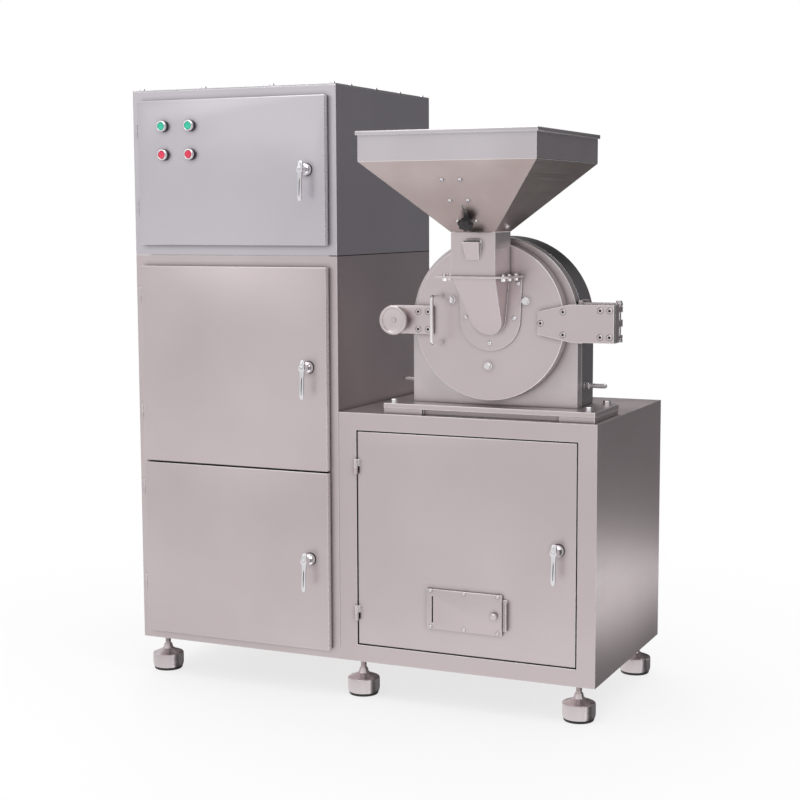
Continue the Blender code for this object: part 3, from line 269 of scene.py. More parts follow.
def hopper_steel():
    """Hopper sheet: cool above the bend, warmer on the slopes, with painted shade on the
    right-hand slope.
    """
    made = Shader("stainless_hopper", (0.70, 0.64, 0.64), 0.36, 1.0)
    bend = SHIFT.z + 1.3365 - NODES["hopper"].matrix_world.translation.z
    below = made.remap(made.along("Object", "Z"), 1.0, 0.0, bend - 0.001, bend + 0.001)
    clouds = made.clouds(5, (1, 1, 0.6))
    skirt = made.mix(clouds, (0.66, 0.625, 0.65), (0.71, 0.675, 0.70))
    slope = made.mix(clouds, (0.56, 0.475, 0.455), (0.67, 0.585, 0.565))
    # The right-hand slope is painted dark for the shade it lies in.
    shaded_right_slope = made.math("MULTIPLY", below, made.right_side(1.0))
    tone = made.mix(shaded_right_slope, made.mix(below, skirt, slope), (0.27, 0.245, 0.24))
    lines = made.noise(1.0, LEVEL_GRAIN, 3.0, 0.6)
    # Painted highlight along the edges and painted shade in crevices.
    made.highlighted_sheet(tone, made.remap(lines, 0.31, 0.43), made.edge_mask(0.0040))
    made.bump(lines, 0.05, 0.0004)
    return made.material


HOPPER = hopper_steel()


def fold_highlight_steel():
    """A painted highlight: the bright line that a brushed sheet shows along its folds and cut
    edges.
    """
    made = Shader("stainless_fold_highlight", (0.97, 0.96, 0.965), 0.22, 0.72)
    highlight_patches = made.remap(made.noise(40, EVEN, 3.0), 0.0, 1.0)
    made.colour(made.mix(highlight_patches, (0.95, 0.94, 0.945), (1.0, 0.99, 0.99)))
    return made.material


FOLD_HIGHLIGHT = fold_highlight_steel()


def polished(name, colour, roughness):
    """Plated or polished metal whose roughness varies a little from place to place."""
    made = Shader(name, colour, roughness, 1.0)
    made.rough(made.remap(made.noise(60, EVEN, 2.0), roughness * 0.7, roughness * 1.5))
    return made.material


CHROME = polished("chrome_plate", (0.86, 0.86, 0.88), 0.07)
SCREWS = polished("bright_screws", (0.82, 0.81, 0.82), 0.20)
BOLTS = polished("bolt_heads", (0.88, 0.87, 0.88), 0.11)
BAR = polished("polished_bar", (0.95, 0.93, 0.94), 0.16)


def plastic(name, light, dark, roughness, coat=0.0):
    """Plastic, rubber, enamel or felt: two close tones under a fine grain."""
    made = Shader(name, light, roughness, 0.0, Coat_Weight=coat)
    made.colour(made.mix(made.remap(made.noise(35), 0.0, 1.0), dark, light))
    grain = made.noise(900, EVEN, 2.0)
    made.rough(made.remap(grain, roughness - 0.06, roughness + 0.08))
    made.bump(grain, 0.06, 0.0003)
    return made.material


BLACK = plastic("black_plastic_grain", (0.030, 0.030, 0.032), (0.016, 0.016, 0.018), 0.40)
RUBBER = plastic("black_rubber", (0.030, 0.029, 0.028), (0.014, 0.014, 0.014), 0.72)
GREEN = plastic("green_lens", (0.03, 0.66, 0.42), (0.02, 0.50, 0.33), 0.22, 0.4)
RED = plastic("red_lens", (0.86, 0.045, 0.11), (0.66, 0.02, 0.07), 0.22, 0.4)
PAINT = plastic("motor_enamel", (0.07, 0.13, 0.20), (0.05, 0.095, 0.15), 0.42, 0.2)
FELT = plastic("filter_felt", (0.74, 0.72, 0.64), (0.60, 0.58, 0.50), 0.92)
GREY = plastic("grey_enamel", (0.30, 0.31, 0.32), (0.24, 0.25, 0.26), 0.5)
PALE = plastic("pale_casing", (0.72, 0.71, 0.67), (0.62, 0.61, 0.57), 0.45)
DARK = plastic("shadow_gap", (0.012, 0.012, 0.013), (0.008, 0.008, 0.009), 0.85)


# ---------------------------------------------------------------- making pieces

def finish_mesh(name, bm, material, body, degrees=35, stands_for=()):
    """Turns a bmesh given from the seam into a piece that rides on a CAD body."""
    bmesh.ops.remove_doubles(bm, verts=bm.verts, dist=0.00001)
    bmesh.ops.recalc_face_normals(bm, faces=bm.faces)
    bmesh.ops.translate(bm, verts=bm.verts, vec=SHIFT)
    mesh = bpy.data.meshes.new(name)
    bm.to_mesh(mesh)
    bm.free()
    mesh.shade_smooth()
    mesh.set_sharp_from_angle(angle=math.radians(degrees))
    mesh.materials.append(material)
    piece = bpy.data.objects.new(name, mesh)
    bpy.context.scene.collection.objects.link(piece)
    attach(piece, body)
    if stands_for:
        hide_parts(*stands_for)
    return piece


def round_edges(piece, width, degrees):
    """Rounds the sharp edges of a finished piece."""
    bevel = piece.modifiers.new("edges", "BEVEL")
    bevel.width = width
    bevel.segments = 2
    bevel.limit_method = "ANGLE"
    bevel.angle_limit = math.radians(degrees)
    bevel.use_clamp_overlap = True
    bevel.harden_normals = True
    return bevel


def circle(sides, start=0.0):
    """Cosine and sine of equal steps round a circle, from start degrees."""
    angles = [math.radians(start) + 2 * math.pi * k / sides for k in range(sides)]
    return [(math.cos(a), math.sin(a)) for a in angles]


def add_skin(bm, rings):
    """Faces between each ring of vertices and the next, and a cap on either end."""
    for low, high in zip(rings, rings[1:]):
        for k in range(len(low)):
            after = (k + 1) % len(low)
            bm.faces.new((low[k], low[after], high[after], high[k]))
    bm.faces.new(rings[0][::-1])
    bm.faces.new(rings[-1])


def frame_of(origin, axis):
    """A turn that takes +Z to axis, then a move to origin."""
    return Matrix.Translation(Vector(origin)) @ axis.to_track_quat("Z", "Y").to_matrix().to_4x4()


def add_lathe(bm, profile, origin, axis, sides):
    """A turned solid: profile is (radius, height along axis), closed at r = 0 or as a ring."""
    turn = frame_of(origin, axis)
    rings = []
    for radius, height in profile:
        if radius == 0:
            rings.append([bm.verts.new(turn @ Vector((0, 0, height)))])
            continue
        rings.append([bm.verts.new(turn @ Vector((radius * c, radius * s, height)))
                      for c, s in circle(sides)])
    pairs = list(zip(rings, rings[1:]))
    if profile[0][0] and profile[-1][0]:
        pairs.append((rings[-1], rings[0]))
    for low, high in pairs:
        for k in range(sides):
            after = (k + 1) % sides
            corners = [low[k % len(low)], low[after % len(low)], high[after % len(high)],
                       high[k % len(high)]]
            unique = list(dict.fromkeys(corners))
            if len(unique) > 2:
                bm.faces.new(unique)


def add_box(bm, low, high, edge=0.0):
    """A box between two corners, its edges rounded."""
    made = bmesh.ops.create_cube(bm, size=1.0)["verts"]
    size = Vector(high) - Vector(low)
    middle = (Vector(high) + Vector(low)) / 2
    for vertex in made:
        vertex.co = Vector([vertex.co[k] * size[k] + middle[k] for k in range(3)])
    if edge:
        edges = list({e for v in made for e in v.link_edges})
        bmesh.ops.bevel(bm, geom=edges, offset=edge, segments=2, profile=0.5, affect="EDGES")


def boxes(name, corners, edge, material, body="machine"):
    """One piece made of boxes, each given by two opposite corners."""
    bm = bmesh.new()
    for low, high in corners:
        add_box(bm, low, high, edge)
    finish_mesh(name, bm, material, body)


def add_tube(bm, points, radii, sides):
    """A round bar along a path, its radius given at each point or once for all."""
    points = [Vector(p) for p in points]
    if isinstance(radii, float):
        radii = [radii] * len(points)
    side = None
    rings = []
    for k, point in enumerate(points):
        ahead = (points[min(k + 1, len(points) - 1)] - points[max(k - 1, 0)]).normalized()
        if side is None:
            side = ahead.orthogonal().normalized()
        side = (side - ahead * side.dot(ahead)).normalized()
        other = ahead.cross(side)
        rings.append([bm.verts.new(point + (side * c + other * s) * radii[k])
                      for c, s in circle(sides)])
    add_skin(bm, rings)


def thread(radius, root, top, pitch, turns):
    """The profile of a screw thread, from its top downwards."""
    points = []
    for turn in range(turns):
        height = top - turn * pitch
        points += [(radius, height), (root, height - pitch / 2)]
    return points


def add_dome_screw(bm, place, axis, radius, height):
    """A raised button head with a round socket."""
    add_lathe(bm, [(0, 0.0012), (radius * 0.36, 0.0012), (radius * 0.40, height),
                   (radius * 0.72, height * 0.86), (radius * 0.93, height * 0.50), (radius, 0),
                   (radius, -0.0004), (0, -0.0004)], place, axis, 18)


def add_socket_screw(bm, place, axis, radius):
    """A low countersunk head with a socket, nearly flush with its plate."""
    height = 0.0016
    add_lathe(bm, [(0, -0.0005), (radius * 0.42, -0.0005), (radius * 0.46, height),
                   (radius * 0.86, height), (radius, height * 0.4), (radius, -0.001),
                   (0, -0.001)], place, axis, 18)


def add_hex_bolt(bm, place, axis, across, height):
    """A hexagon head on a round washer face."""
    turn = frame_of(place, axis)
    corner = across / math.sqrt(3)
    add_lathe(bm, [(0, 0.0012), (across * 0.62, 0.0012), (across * 0.62, -0.0004), (0, -0.0004)],
              place, axis, 24)
    levels = ((corner * 0.90, height), (corner, height - 0.0012), (corner, 0.0010))
    add_skin(bm, [[bm.verts.new(turn @ Vector((r * c, r * s, h))) for c, s in circle(6, 15)]
                  for r, h in levels])


def screws(name, add, places, axis, body, material=SCREWS, **sizes):
    """One piece that holds a group of equal fasteners."""
    bm = bmesh.new()
    for place in places:
        add(bm, place, axis, **sizes)
    finish_mesh(name, bm, material, body, 30)


# ---------------------------------------------------------------- CAD nodes that are shown

# Merging the flat facets of these would close their holes.
KEEP_FACETS = ("mill_base_plate", "mill_casing")


def dress(node, material, edge, fold):
    """Gives a CAD node its material, joins its facets and rounds its edges."""
    piece = NODES[node]
    mesh = piece.data
    if "custom_normal" in mesh.attributes:
        mesh.attributes.remove(mesh.attributes["custom_normal"])
    mesh.shade_smooth()
    mesh.materials.clear()
    mesh.materials.append(material)
    # The bevelled edges of folded sheet take the fold material: a painted highlight.
    mesh.materials.append(FOLD_HIGHLIGHT if fold else material)
    weld = piece.modifiers.new("join", "WELD")
    weld.merge_threshold = 0.00015
    if node not in KEEP_FACETS:
        flat = piece.modifiers.new("flat_faces", "DECIMATE")
        flat.decimate_type = "DISSOLVE"
        flat.angle_limit = math.radians(0.5)
    round_edges(piece, edge, 35).material = 1


KEPT = {
    SHEET: {"base_cabinet": 0.0016, "collector_cabinet": 0.0016, "shutter_frame": 0.0004,
            "shutter_slide": 0.0004, "inlet_chute": 0.0005,
            "outlet_spout": 0.0004, "receiving_bin": 0.0004,
            "dust_bin": 0.0004, "fan_housing": 0.0004, "belt_guard": 0.0005,
            "mill_base_plate": 0.0010, "bearing_housing": 0.0010, "mill_door": 0.0016,
            "clamp_plate": 0.0004, "hinge_arm": 0.0010, "hinge_block": 0.0010,
            "hinge_bracket": 0.0008},
    NECK_SHEET: {"inlet_neck": 0.0006},
    HOPPER: {"hopper": 0.0004},
    DOOR_SHEET: {"middle_door": 0.0012, "lower_door": 0.0012, "base_door": 0.0010},
    UPPER_SHEET: {"electrical_cabinet": 0.0016, "cabinet_lid": 0.0006},
    UPPER_DOOR: {"upper_door": 0.0012},
    BAR: {"door_pull": 0.0003},
    TURNED: {"hinge_pin": 0.0005, "shutter_knob": 0.0004},
    CAST: {"mill_casing": 0.0012},
    IRON: {"rotor": 0.0006, "mill_pulley": 0.0005, "motor_pulley": 0.0005, "fan_impeller": 0.0004,
           "stator_ring": 0.0005, "screen": 0.0003, "hammer_1": 0.0012, "hammer_2": 0.0012,
           "hammer_3": 0.0012, "hammer_4": 0.0012},
    PAINT: {"motor": 0.0015, "fan_motor": 0.0012},
    RUBBER: {"drive_belt": 0.0008},
    FELT: {"filter_cartridge": 0.0010},
}
FOLDED = (SHEET, NECK_SHEET, HOPPER, DOOR_SHEET, UPPER_SHEET, UPPER_DOOR, CAST)
for surface, group in KEPT.items():
    for name, width in group.items():
        dress(name, surface, width, surface in FOLDED)


# ---------------------------------------------------------------- levers, buttons and feet

def lever(node, x, front, z, tongue):
    """A chrome door lever: round rose, turned boss and a flat grip that swells to its end.

    Behind the door it carries a latch tongue that hangs down by the given length.
    """
    body = node + "_body"
    bm = bmesh.new()
    add_lathe(bm, [(0, 0.0440), (0.0060, 0.0440), (0.0092, 0.0425), (0.0102, 0.0390),
                   (0.0102, 0.0250), (0.0112, 0.0215), (0.0148, 0.0190), (0.0162, 0.0160),
                   (0.0165, 0.0060), (0.0158, 0.0010), (0.0158, 0.0004), (0, 0.0004)],
              (x, front, z), -Y, 40)
    y = front - 0.0365      # the grip's middle plane
    grip = (        # forward, up, half width and half depth along the grip
        (0, 0.022, 0.0045, 0.0030), (0, 0.018, 0.0078, 0.0055), (0, 0.008, 0.0095, 0.0068),
        (0.001, -0.010, 0.0078, 0.0058), (0.003, -0.030, 0.0068, 0.0048),
        (0.0045, -0.050, 0.0070, 0.0044), (0.0055, -0.068, 0.0074, 0.0042),
        (0.0055, -0.078, 0.0064, 0.0038), (0.0055, -0.0830, 0.0028, 0.0018))
    add_skin(bm, [[bm.verts.new((x + wide * c, y - ahead + deep * s, z + up))
                   for c, s in circle(20)] for ahead, up, wide, deep in grip])
    add_lathe(bm, [(0, 0), (0.005, 0), (0.005, 0.0255), (0, 0.0255)],
              (x, front + 0.0002, z), Y, 24)
    add_box(bm, (x - 0.009, front + 0.0256, z - tongue), (x + 0.009, front + 0.0290, z + 0.009),
            0.0012)
    finish_mesh(node + "_detail", bm, CHROME, body, 40, (node,))
    bm = bmesh.new()
    add_lathe(bm, [(0, 0.0004), (0.0030, 0.0004), (0.0034, 0.0012), (0.0042, 0.0012),
                   (0.0048, 0), (0.0048, -0.0004), (0, -0.0004)], (x, front - 0.0442, z), -Y, 20)
    finish_mesh(node + "_screw", bm, SCREWS, body)
    # A dark line down the grip is a painted reflection on the chrome, and a dark ring at the
    # rose's foot is painted shadow.
    bm = bmesh.new()
    add_tube(bm, [(x + 0.0016, y - 0.0048, z - 0.014), (x + 0.0012, y - 0.0068, z - 0.032),
                  (x + 0.0010, y - 0.0080, z - 0.050), (x + 0.0010, y - 0.0088, z - 0.070)],
             [0.0016, 0.0015, 0.0014, 0.0011], 10)
    add_lathe(bm, [(0.0157, 0.0010), (0.0174, 0.0010), (0.0174, 0.0002), (0.0157, 0.0002)],
              (x, front, z), -Y, 40)
    finish_mesh(node + "_dark_reflection_and_shadow", bm, DARK, body)


def push_button(node, x, z, material):
    """A 22 mm push button: bright bezel, black collar and a coloured cap set in the bezel."""
    front = CABINET_DOOR_FRONT
    bm = bmesh.new()
    add_lathe(bm, [(0.0106, 0.0140), (0.0108, 0.0158), (0.0116, 0.0166), (0.0134, 0.0164),
                   (0.0146, 0.0150), (0.0149, 0.0130), (0.0149, 0.0098), (0.0140, 0.0090),
                   (0.0106, 0.0090)], (x, front, z), -Y, 48)
    finish_mesh(node + "_bezel", bm, BAR, "upper_door_body")
    # The black collar is partly real and partly painted shadow, the dark side that shows right of
    # and below the bezel.
    bm = bmesh.new()
    add_lathe(bm, [(0.0106, 0.0089), (0.0138, 0.0089), (0.0152, 0.0070), (0.0154, 0.0003),
                   (0.0106, 0.0003)], (x, front, z), -Y, 40)
    add_lathe(bm, [(0.0108, -0.0030), (0.0145, -0.0030), (0.0145, -0.0100), (0.0130, -0.0100),
                   (0.0130, -0.0260), (0.0108, -0.0260)], (x, front, z), -Y, 32)
    finish_mesh(node + "_collar", bm, BLACK, "upper_door_body")
    bm = bmesh.new()
    add_lathe(bm, [(0, 0.0152), (0.0050, 0.0155), (0.0082, 0.0164), (0.0094, 0.0164),
                   (0.0100, 0.0155), (0.0102, 0.0140), (0.0102, -0.0080), (0, -0.0080)],
              (x, front, z), -Y, 40)
    finish_mesh(node + "_cap", bm, material, node + "_body", 35, (node,))


lever("upper_handle", -0.077, CABINET_DOOR_FRONT, 1.325, 0.050)
lever("middle_handle", -0.077, CABINET_DOOR_FRONT, 0.799, 0.050)
lever("lower_handle", -0.077, CABINET_DOOR_FRONT, 0.276, 0.050)
lever("base_handle", 0.6235, 0.0, 0.352, 0.062)

push_button("start_button_left", -0.518, 1.449, GREEN)
push_button("start_button_right", -0.432, 1.449, GREEN)
push_button("stop_button_left", -0.517, 1.3715, RED)
push_button("stop_button_right", -0.432, 1.3715, RED)


def foot(node, x, y):
    """A levelling foot: stud with lock nut, steel cup with a sloping top, and a rubber pad."""
    bm = bmesh.new()
    profile = [(0, 0.0995), (0.0078, 0.0995)] + thread(0.0080, 0.0073, 0.0970, 0.0014, 16)
    profile += [(0.0080, 0.0735), (0.0105, 0.0725), (0.0118, 0.0700), (0.0130, 0.0640),
                (0.0160, 0.0590), (0.0235, 0.0550), (0.0340, 0.0510), (0.0415, 0.0478),
                (0.0434, 0.0462), (0.0440, 0.0436), (0.0440, 0.0170), (0.0430, 0.0115),
                (0.0412, 0.0078), (0, 0.0078)]
    add_lathe(bm, profile, (x, y, FLOOR), Z, 56)
    finish_mesh("cup_" + node, bm, TURNED, "machine", 30, (node,))
    bm = bmesh.new()
    add_lathe(bm, [(0, 0.0076), (0.0400, 0.0076), (0.0410, 0.0066), (0.0398, 0.0020),
                   (0.0382, 0), (0, 0)], (x, y, FLOOR), Z, 48)
    finish_mesh("pad_" + node, bm, RUBBER, "machine")
    bm = bmesh.new()
    corner = 0.0130
    add_skin(bm, [[bm.verts.new((x + corner * c, y + corner * s, z)) for c, s in circle(6, 20)]
                  for z in (-0.0120, -0.0030)])
    round_edges(finish_mesh("nut_" + node, bm, SCREWS, "machine"), 0.0008, 40)


for node, x, y in (("foot_tall_front", -0.586, 0.055), ("foot_tall_back", -0.586, 0.567),
                   ("foot_middle_front", 0.047, 0.050), ("foot_middle_back", 0.047, 0.545),
                   ("foot_base_front", 0.664, 0.055), ("foot_base_back", 0.673, 0.545)):
    foot(node, x, y)


# ---------------------------------------------------------------- mill door fittings

SLOPE = Vector((0, -0.69007, -0.72374))         # out of the hopper's front slope


def slope_point(x, z):
    """A point on the hopper's front slope, which leans forward from y = -0.065, z = 1.161."""
    return Vector((x, -0.065 - (z - 1.161) * 1.04878, z))


def add_socket_shade(bm, place, axis):
    """Painted shade in a screw's socket: a dark disc level with the head."""
    radius, height = 0.0034, 0.0018
    add_lathe(bm, [(0, height), (radius, height), (radius, -0.0004), (0, -0.0004)], place, axis, 6)


def screw_shadow_rings(name, places, axis, body, inner, outer):
    """Thin dark rings of painted shadow round the heads of screws."""
    bm = bmesh.new()
    for place in places:
        add_lathe(bm, [(inner, 0.0002), (outer, 0.0002), (outer, -0.0003), (inner, -0.0003)],
                  place, axis, 24)
    finish_mesh(name, bm, DARK, body, 30)


DOOR_BOLTS = [(MILL_X + 0.116 * math.cos(a), 0.0450, MILL_Z + 0.116 * math.sin(a))
              for a in map(math.radians, (28, 152, 270))]
CHUTE_SCREWS = [(x, 0.0407, z) for x, z in ((0.4855, 0.9400), (0.3525, 0.9400), (0.4180, 0.8735),
                                            (0.4960, 1.0290), (0.3420, 1.0290))]
TABLE_BOLTS = ((0.494, -0.060), (0.494, -0.018), (0.496, 0.026), (0.334, -0.060),
               (0.334, -0.018), (0.332, 0.026))
SLOPE_SCREWS = [slope_point(x, z) for z in (1.290, 1.240, 1.189) for x in (0.386, 0.434)]
ARM_SCREWS = [(x, ARM_FRONT, z) for x, z in ((0.560, 0.929), (0.620, 0.959), (0.620, 0.901),
                                             (0.718, 0.9640), (0.7425, 0.9640),
                                             (0.718, 0.8970), (0.7425, 0.8970))]
CLAMP_SCREWS = [(x, ARM_FRONT, z) for x in (0.221, 0.249) for z in (0.906, 0.952)]
SHUTTER_SCREWS = [(x, -0.0080, z) for x in (0.2715, 0.3665, 0.4615) for z in (0.1195, 0.2175)]
BASE_PLATE_BOLTS = [(x, y, BASE_PLATE_TOP) for x, y in ((0.149, 0.036), (0.686, 0.048),
                                                        (0.686, 0.204), (0.149, 0.204))]

screws("mill_door_bolts", add_hex_bolt, DOOR_BOLTS, -Y, "mill_door_body", BOLTS,
       across=0.0170, height=0.0115)
screws("chute_flange_screws", add_dome_screw, CHUTE_SCREWS, -Y, "mill_door_body",
       radius=0.0062, height=0.0038)
screws("chute_table_bolts", add_hex_bolt, [(x, y, BOLT_TABLE_TOP) for x, y in TABLE_BOLTS], Z,
       "mill_door_body", BOLTS, across=0.0095, height=0.0050)
screws("chute_table_nuts", add_hex_bolt, [(x, y, BOLT_TABLE_UNDERSIDE) for x, y in TABLE_BOLTS],
       -Z, "mill_door_body", BOLTS, across=0.0105, height=0.0075)
screws("hopper_slope_screws", add_dome_screw, SLOPE_SCREWS, SLOPE, "mill_door_body",
       radius=0.0062, height=0.0042)
screws("hinge_arm_screws", add_socket_screw, ARM_SCREWS, -Y, "mill_door_body", TURNED,
       radius=0.0074)
screws("clamp_plate_screws", add_socket_screw, CLAMP_SCREWS, -Y, "mill_door_body", TURNED,
       radius=0.0076)
screws("shutter_plate_screws", add_dome_screw, SHUTTER_SCREWS, -Y, "base_door_body",
       radius=0.0052, height=0.0034)
screws("base_plate_bolts", add_hex_bolt, BASE_PLATE_BOLTS, Z, "machine", BOLTS,
       across=0.0175, height=0.0110)
screws("casing_vent_screw", add_dome_screw, [(0.2275, 0.102, 1.0610)], Vector((-0.8, 0, 0.6)),
       "machine", radius=0.0060, height=0.0050)
screws("hopper_side_bolt", add_hex_bolt, [(0.4890, -0.022, 1.1758)], Vector((0.71, 0, -0.704)),
       "mill_door_body", across=0.0120, height=0.0055)
screw_shadow_rings("hinge_arm_screw_shadows", ARM_SCREWS, -Y, "mill_door_body", 0.0075, 0.0082)
screw_shadow_rings("clamp_plate_screw_shadows", CLAMP_SCREWS, -Y, "mill_door_body", 0.0077, 0.0084)
screws("plate_socket_shade", add_socket_shade, ARM_SCREWS + CLAMP_SCREWS, -Y, "mill_door_body",
       DARK)


def star_knob():
    """Seven-lobed hand knob on the feed gate's stud."""
    base = slope_point(MILL_X, 1.195)
    turn = frame_of(base, SLOPE)
    sides, lobes = 84, 7
    reaches = [0.0182 + 0.0022 * math.cos(2 * math.pi * lobes * k / sides) for k in range(sides)]
    outline = [(c * reach, s * reach) for (c, s), reach in zip(circle(sides), reaches)]
    levels = ((0.0128, 0.80), (0.0140, 0.93), (0.0165, 1.0), (0.0235, 1.0), (0.0268, 0.95),
              (0.0285, 0.82), (0.0290, 0.60), (0.0278, 0.45))
    bm = bmesh.new()
    add_skin(bm, [[bm.verts.new(turn @ Vector((x * scale, y * scale, height)))
                   for x, y in outline] for height, scale in levels])
    add_lathe(bm, [(0.0030, 0.0012), (0.0098, 0.0012), (0.0104, 0.0060), (0.0112, 0.0130),
                   (0.0030, 0.0130)], base, SLOPE, 32)
    finish_mesh("star_knob", bm, BLACK, "gate_knob_body", 50, ("gate_knob",))
    bm = bmesh.new()
    add_lathe(bm, [(0.0030, 0.0002), (0.0085, 0.0002), (0.0085, 0.0011), (0.0030, 0.0011)],
              base, SLOPE, 32)
    finish_mesh("star_knob_washer", bm, SCREWS, "feed_gate_body")


star_knob()


def hand_wheel():
    """Turned hand wheel: rounded rim, sunken face, middle boss with a socket, and its screw."""
    place = (0.161, ARM_FRONT, MILL_Z)
    bm = bmesh.new()
    rim = [(0.0345 + 0.0050 * math.cos(a), 0.0290 + 0.0050 * math.sin(a))
           for a in [math.radians(200 - 250 * k / 15) for k in range(16)]]
    add_lathe(bm, [(0, 0.0268), (0.0034, 0.0268), (0.0040, 0.0290), (0.0066, 0.0290),
                   (0.0078, 0.0272), (0.0084, 0.0262), (0.0262, 0.0262), (0.0285, 0.0268)]
              + rim + [(0.0360, 0.0170), (0.0330, 0.0160), (0.0170, 0.0160), (0.0130, 0.0130),
                       (0.0130, 0.0004), (0, 0.0004)], place, -Y, 96)
    finish_mesh("wheel_turned", bm, TURNED, "hand_wheel_body", 32,
                ("hand_wheel",))
    bm = bmesh.new()
    profile = [(0, 0.0002), (0.0058, 0.0002)] + thread(0.0060, 0.0054, -0.0100, 0.0017, 22)
    profile += [(0.0055, -0.0490), (0.0038, -0.0520), (0, -0.0520)]
    add_lathe(bm, profile, place, -Y, 32)
    finish_mesh("wheel_screw", bm, SCREWS, "hand_wheel_body")


hand_wheel()


# A dark strip over the lip of the neck's magnet pocket: painted shade in the slot there.
boxes("pocket_slot_shadow", [((0.3950, -0.0825, 1.1300), (0.4330, -0.0668, 1.1392))], 0.0006, DARK,
      "mill_door_body")
boxes("pocket_clip", [((0.4348, -0.0700, 1.1330), (0.4392, -0.0652, 1.1405))], 0.0008, SCREWS,
      "mill_door_body")


# ---------------------------------------------------------------- cabinet details

# The dark joint between the two cabinets, on the front strip and along the right side.
boxes("cabinet_seam", [((-0.0225, -0.0003, 1.0958), (0.0003, 0.0004, 1.0980)),
                       ((-0.0004, 0.0002, 1.0958), (0.0003, 0.6215, 1.0980))], 0.0, DARK)

LID_SCREWS = [(x, y, LID_TOP) for x in (-0.610, -0.411, -0.200, -0.018) for y in (0.018, 0.604)]
LID_SCREWS += [(x, y, LID_TOP) for x in (-0.612, -0.018) for y in (0.122, 0.282, 0.443)]


def add_round_dome(bm, place, axis):
    """A domed head without a socket."""
    add_lathe(bm, [(0, 0.0075), (0.0026, 0.0073), (0.0048, 0.0064), (0.0068, 0.0046),
                   (0.0077, 0.0026), (0.0081, 0.0008), (0.0081, -0.0003), (0, -0.0003)],
              place, axis, 24)


screws("lid_domes", add_round_dome, LID_SCREWS, Z, "machine", BAR)
screw_shadow_rings("lid_dome_shadows", LID_SCREWS, Z, "machine", 0.0082, 0.0094)


def pleated_filter():
    """The cartridge's paper folds between its two end caps."""
    centre, low, high, folds = Vector((-0.315, 0.370, 0)), 0.759, 1.079, 64
    bm = bmesh.new()
    reaches = (0.1622, 0.1672) * folds
    add_skin(bm, [[bm.verts.new(centre + Vector((reach * c, reach * s, z)))
                   for reach, (c, s) in zip(reaches, circle(2 * folds))] for z in (low, high)])
    finish_mesh("filter_pleats", bm, FELT, "machine", 20)
    bm = bmesh.new()
    for start, stop in ((0.7437, 0.7600), (1.0780, 1.0935)):
        add_lathe(bm, [(0, stop), (0.1675, stop), (0.1690, stop - 0.002), (0.1690, start + 0.002),
                       (0.1675, start), (0, start)], centre, Z, 64)
    finish_mesh("filter_end_caps", bm, IRON, "machine")


pleated_filter()


def control_gear():
    """Mounting plate, rails, ducts, breakers, contactors and terminals in the control room."""
    back = 0.1810       # devices reach back to the rails
    boxes("gear_plate", [((-0.600, 0.1880, 1.118), (-0.032, 0.1905, 1.530))], 0.0006, TURNED)
    boxes("gear_rails", [((-0.545, 0.1805, z - 0.0175), (-0.090, 0.1885, z + 0.0175))
                         for z in (1.400, 1.272, 1.170)], 0.0006, IRON)
    ducts = ((-0.590, -0.045, 1.470, 1.505), (-0.590, -0.045, 1.325, 1.352),
             (-0.590, -0.563, 1.140, 1.470), (-0.072, -0.045, 1.140, 1.470))
    boxes("gear_ducts", [((left, 0.1400, low), (right, 0.1882, high))
                         for left, right, low, high in ducts], 0.0010, GREY)

    breakers, toggles = [], []
    for k in range(9):
        left = -0.535 + 0.018 * k
        breakers += [((left, 0.1150, 1.358), (left + 0.0172, back, 1.441)),
                     ((left + 0.0015, 0.1040, 1.378), (left + 0.0157, 0.1160, 1.421))]
        toggles += [((left + 0.0050, 0.0960, 1.396), (left + 0.0122, 0.1050, 1.410))]
    boxes("gear_breakers", breakers, 0.0012, PALE)
    boxes("gear_toggles", toggles, 0.0010, BLACK)

    contactors = []
    for left in [-0.345 + 0.056 * k for k in range(4)]:
        contactors += [((left, 0.0960, 1.360), (left + 0.045, back, 1.442)),
                       ((left + 0.006, 0.0880, 1.380), (left + 0.039, 0.0970, 1.422))]
    for left in [-0.530 + 0.060 * k for k in range(3)]:
        contactors += [((left, 0.0960, 1.225), (left + 0.045, back, 1.318)),
                       ((left + 0.008, 0.0890, 1.245), (left + 0.037, 0.0970, 1.290))]
    boxes("gear_contactors", contactors, 0.0015, BLACK)

    terminals = [-0.5400 + 0.0076 * k for k in range(58)]
    boxes("gear_terminals", [((left, 0.1360, 1.148), (left + 0.0070, back, 1.192))
                             for left in terminals], 0.0006, PALE)
    boxes("gear_supply", [((-0.330, 0.1050, 1.222), (-0.240, back, 1.318)),
                          ((-0.225, 0.1200, 1.222), (-0.110, back, 1.318))], 0.0020, GREY)


control_gear()


def fan_guard():
    """Round wire guard in the fan's outlet in the back wall: five rings on four spokes."""
    centre = Vector((-0.315, 0.6180, 1.320))
    bm = bmesh.new()
    for radius in (0.030, 0.055, 0.080, 0.105, 0.1295):
        turns = circle(40) + circle(1)
        add_tube(bm, [centre + Vector((radius * c, 0, radius * s)) for c, s in turns], 0.0018, 8)
    finish_mesh("fan_guard_rings", bm, SCREWS, "machine")
    bm = bmesh.new()
    for c, s in circle(4, 45):
        spoke = Vector((c, 0, s))
        add_tube(bm, [centre + spoke * 0.024 - Y * 0.0030, centre + spoke * 0.1300 - Y * 0.0030],
                 0.0020, 8)
    finish_mesh("fan_guard_spokes", bm, SCREWS, "machine")


fan_guard()


# ---------------------------------------------------------------- stage, light and camera

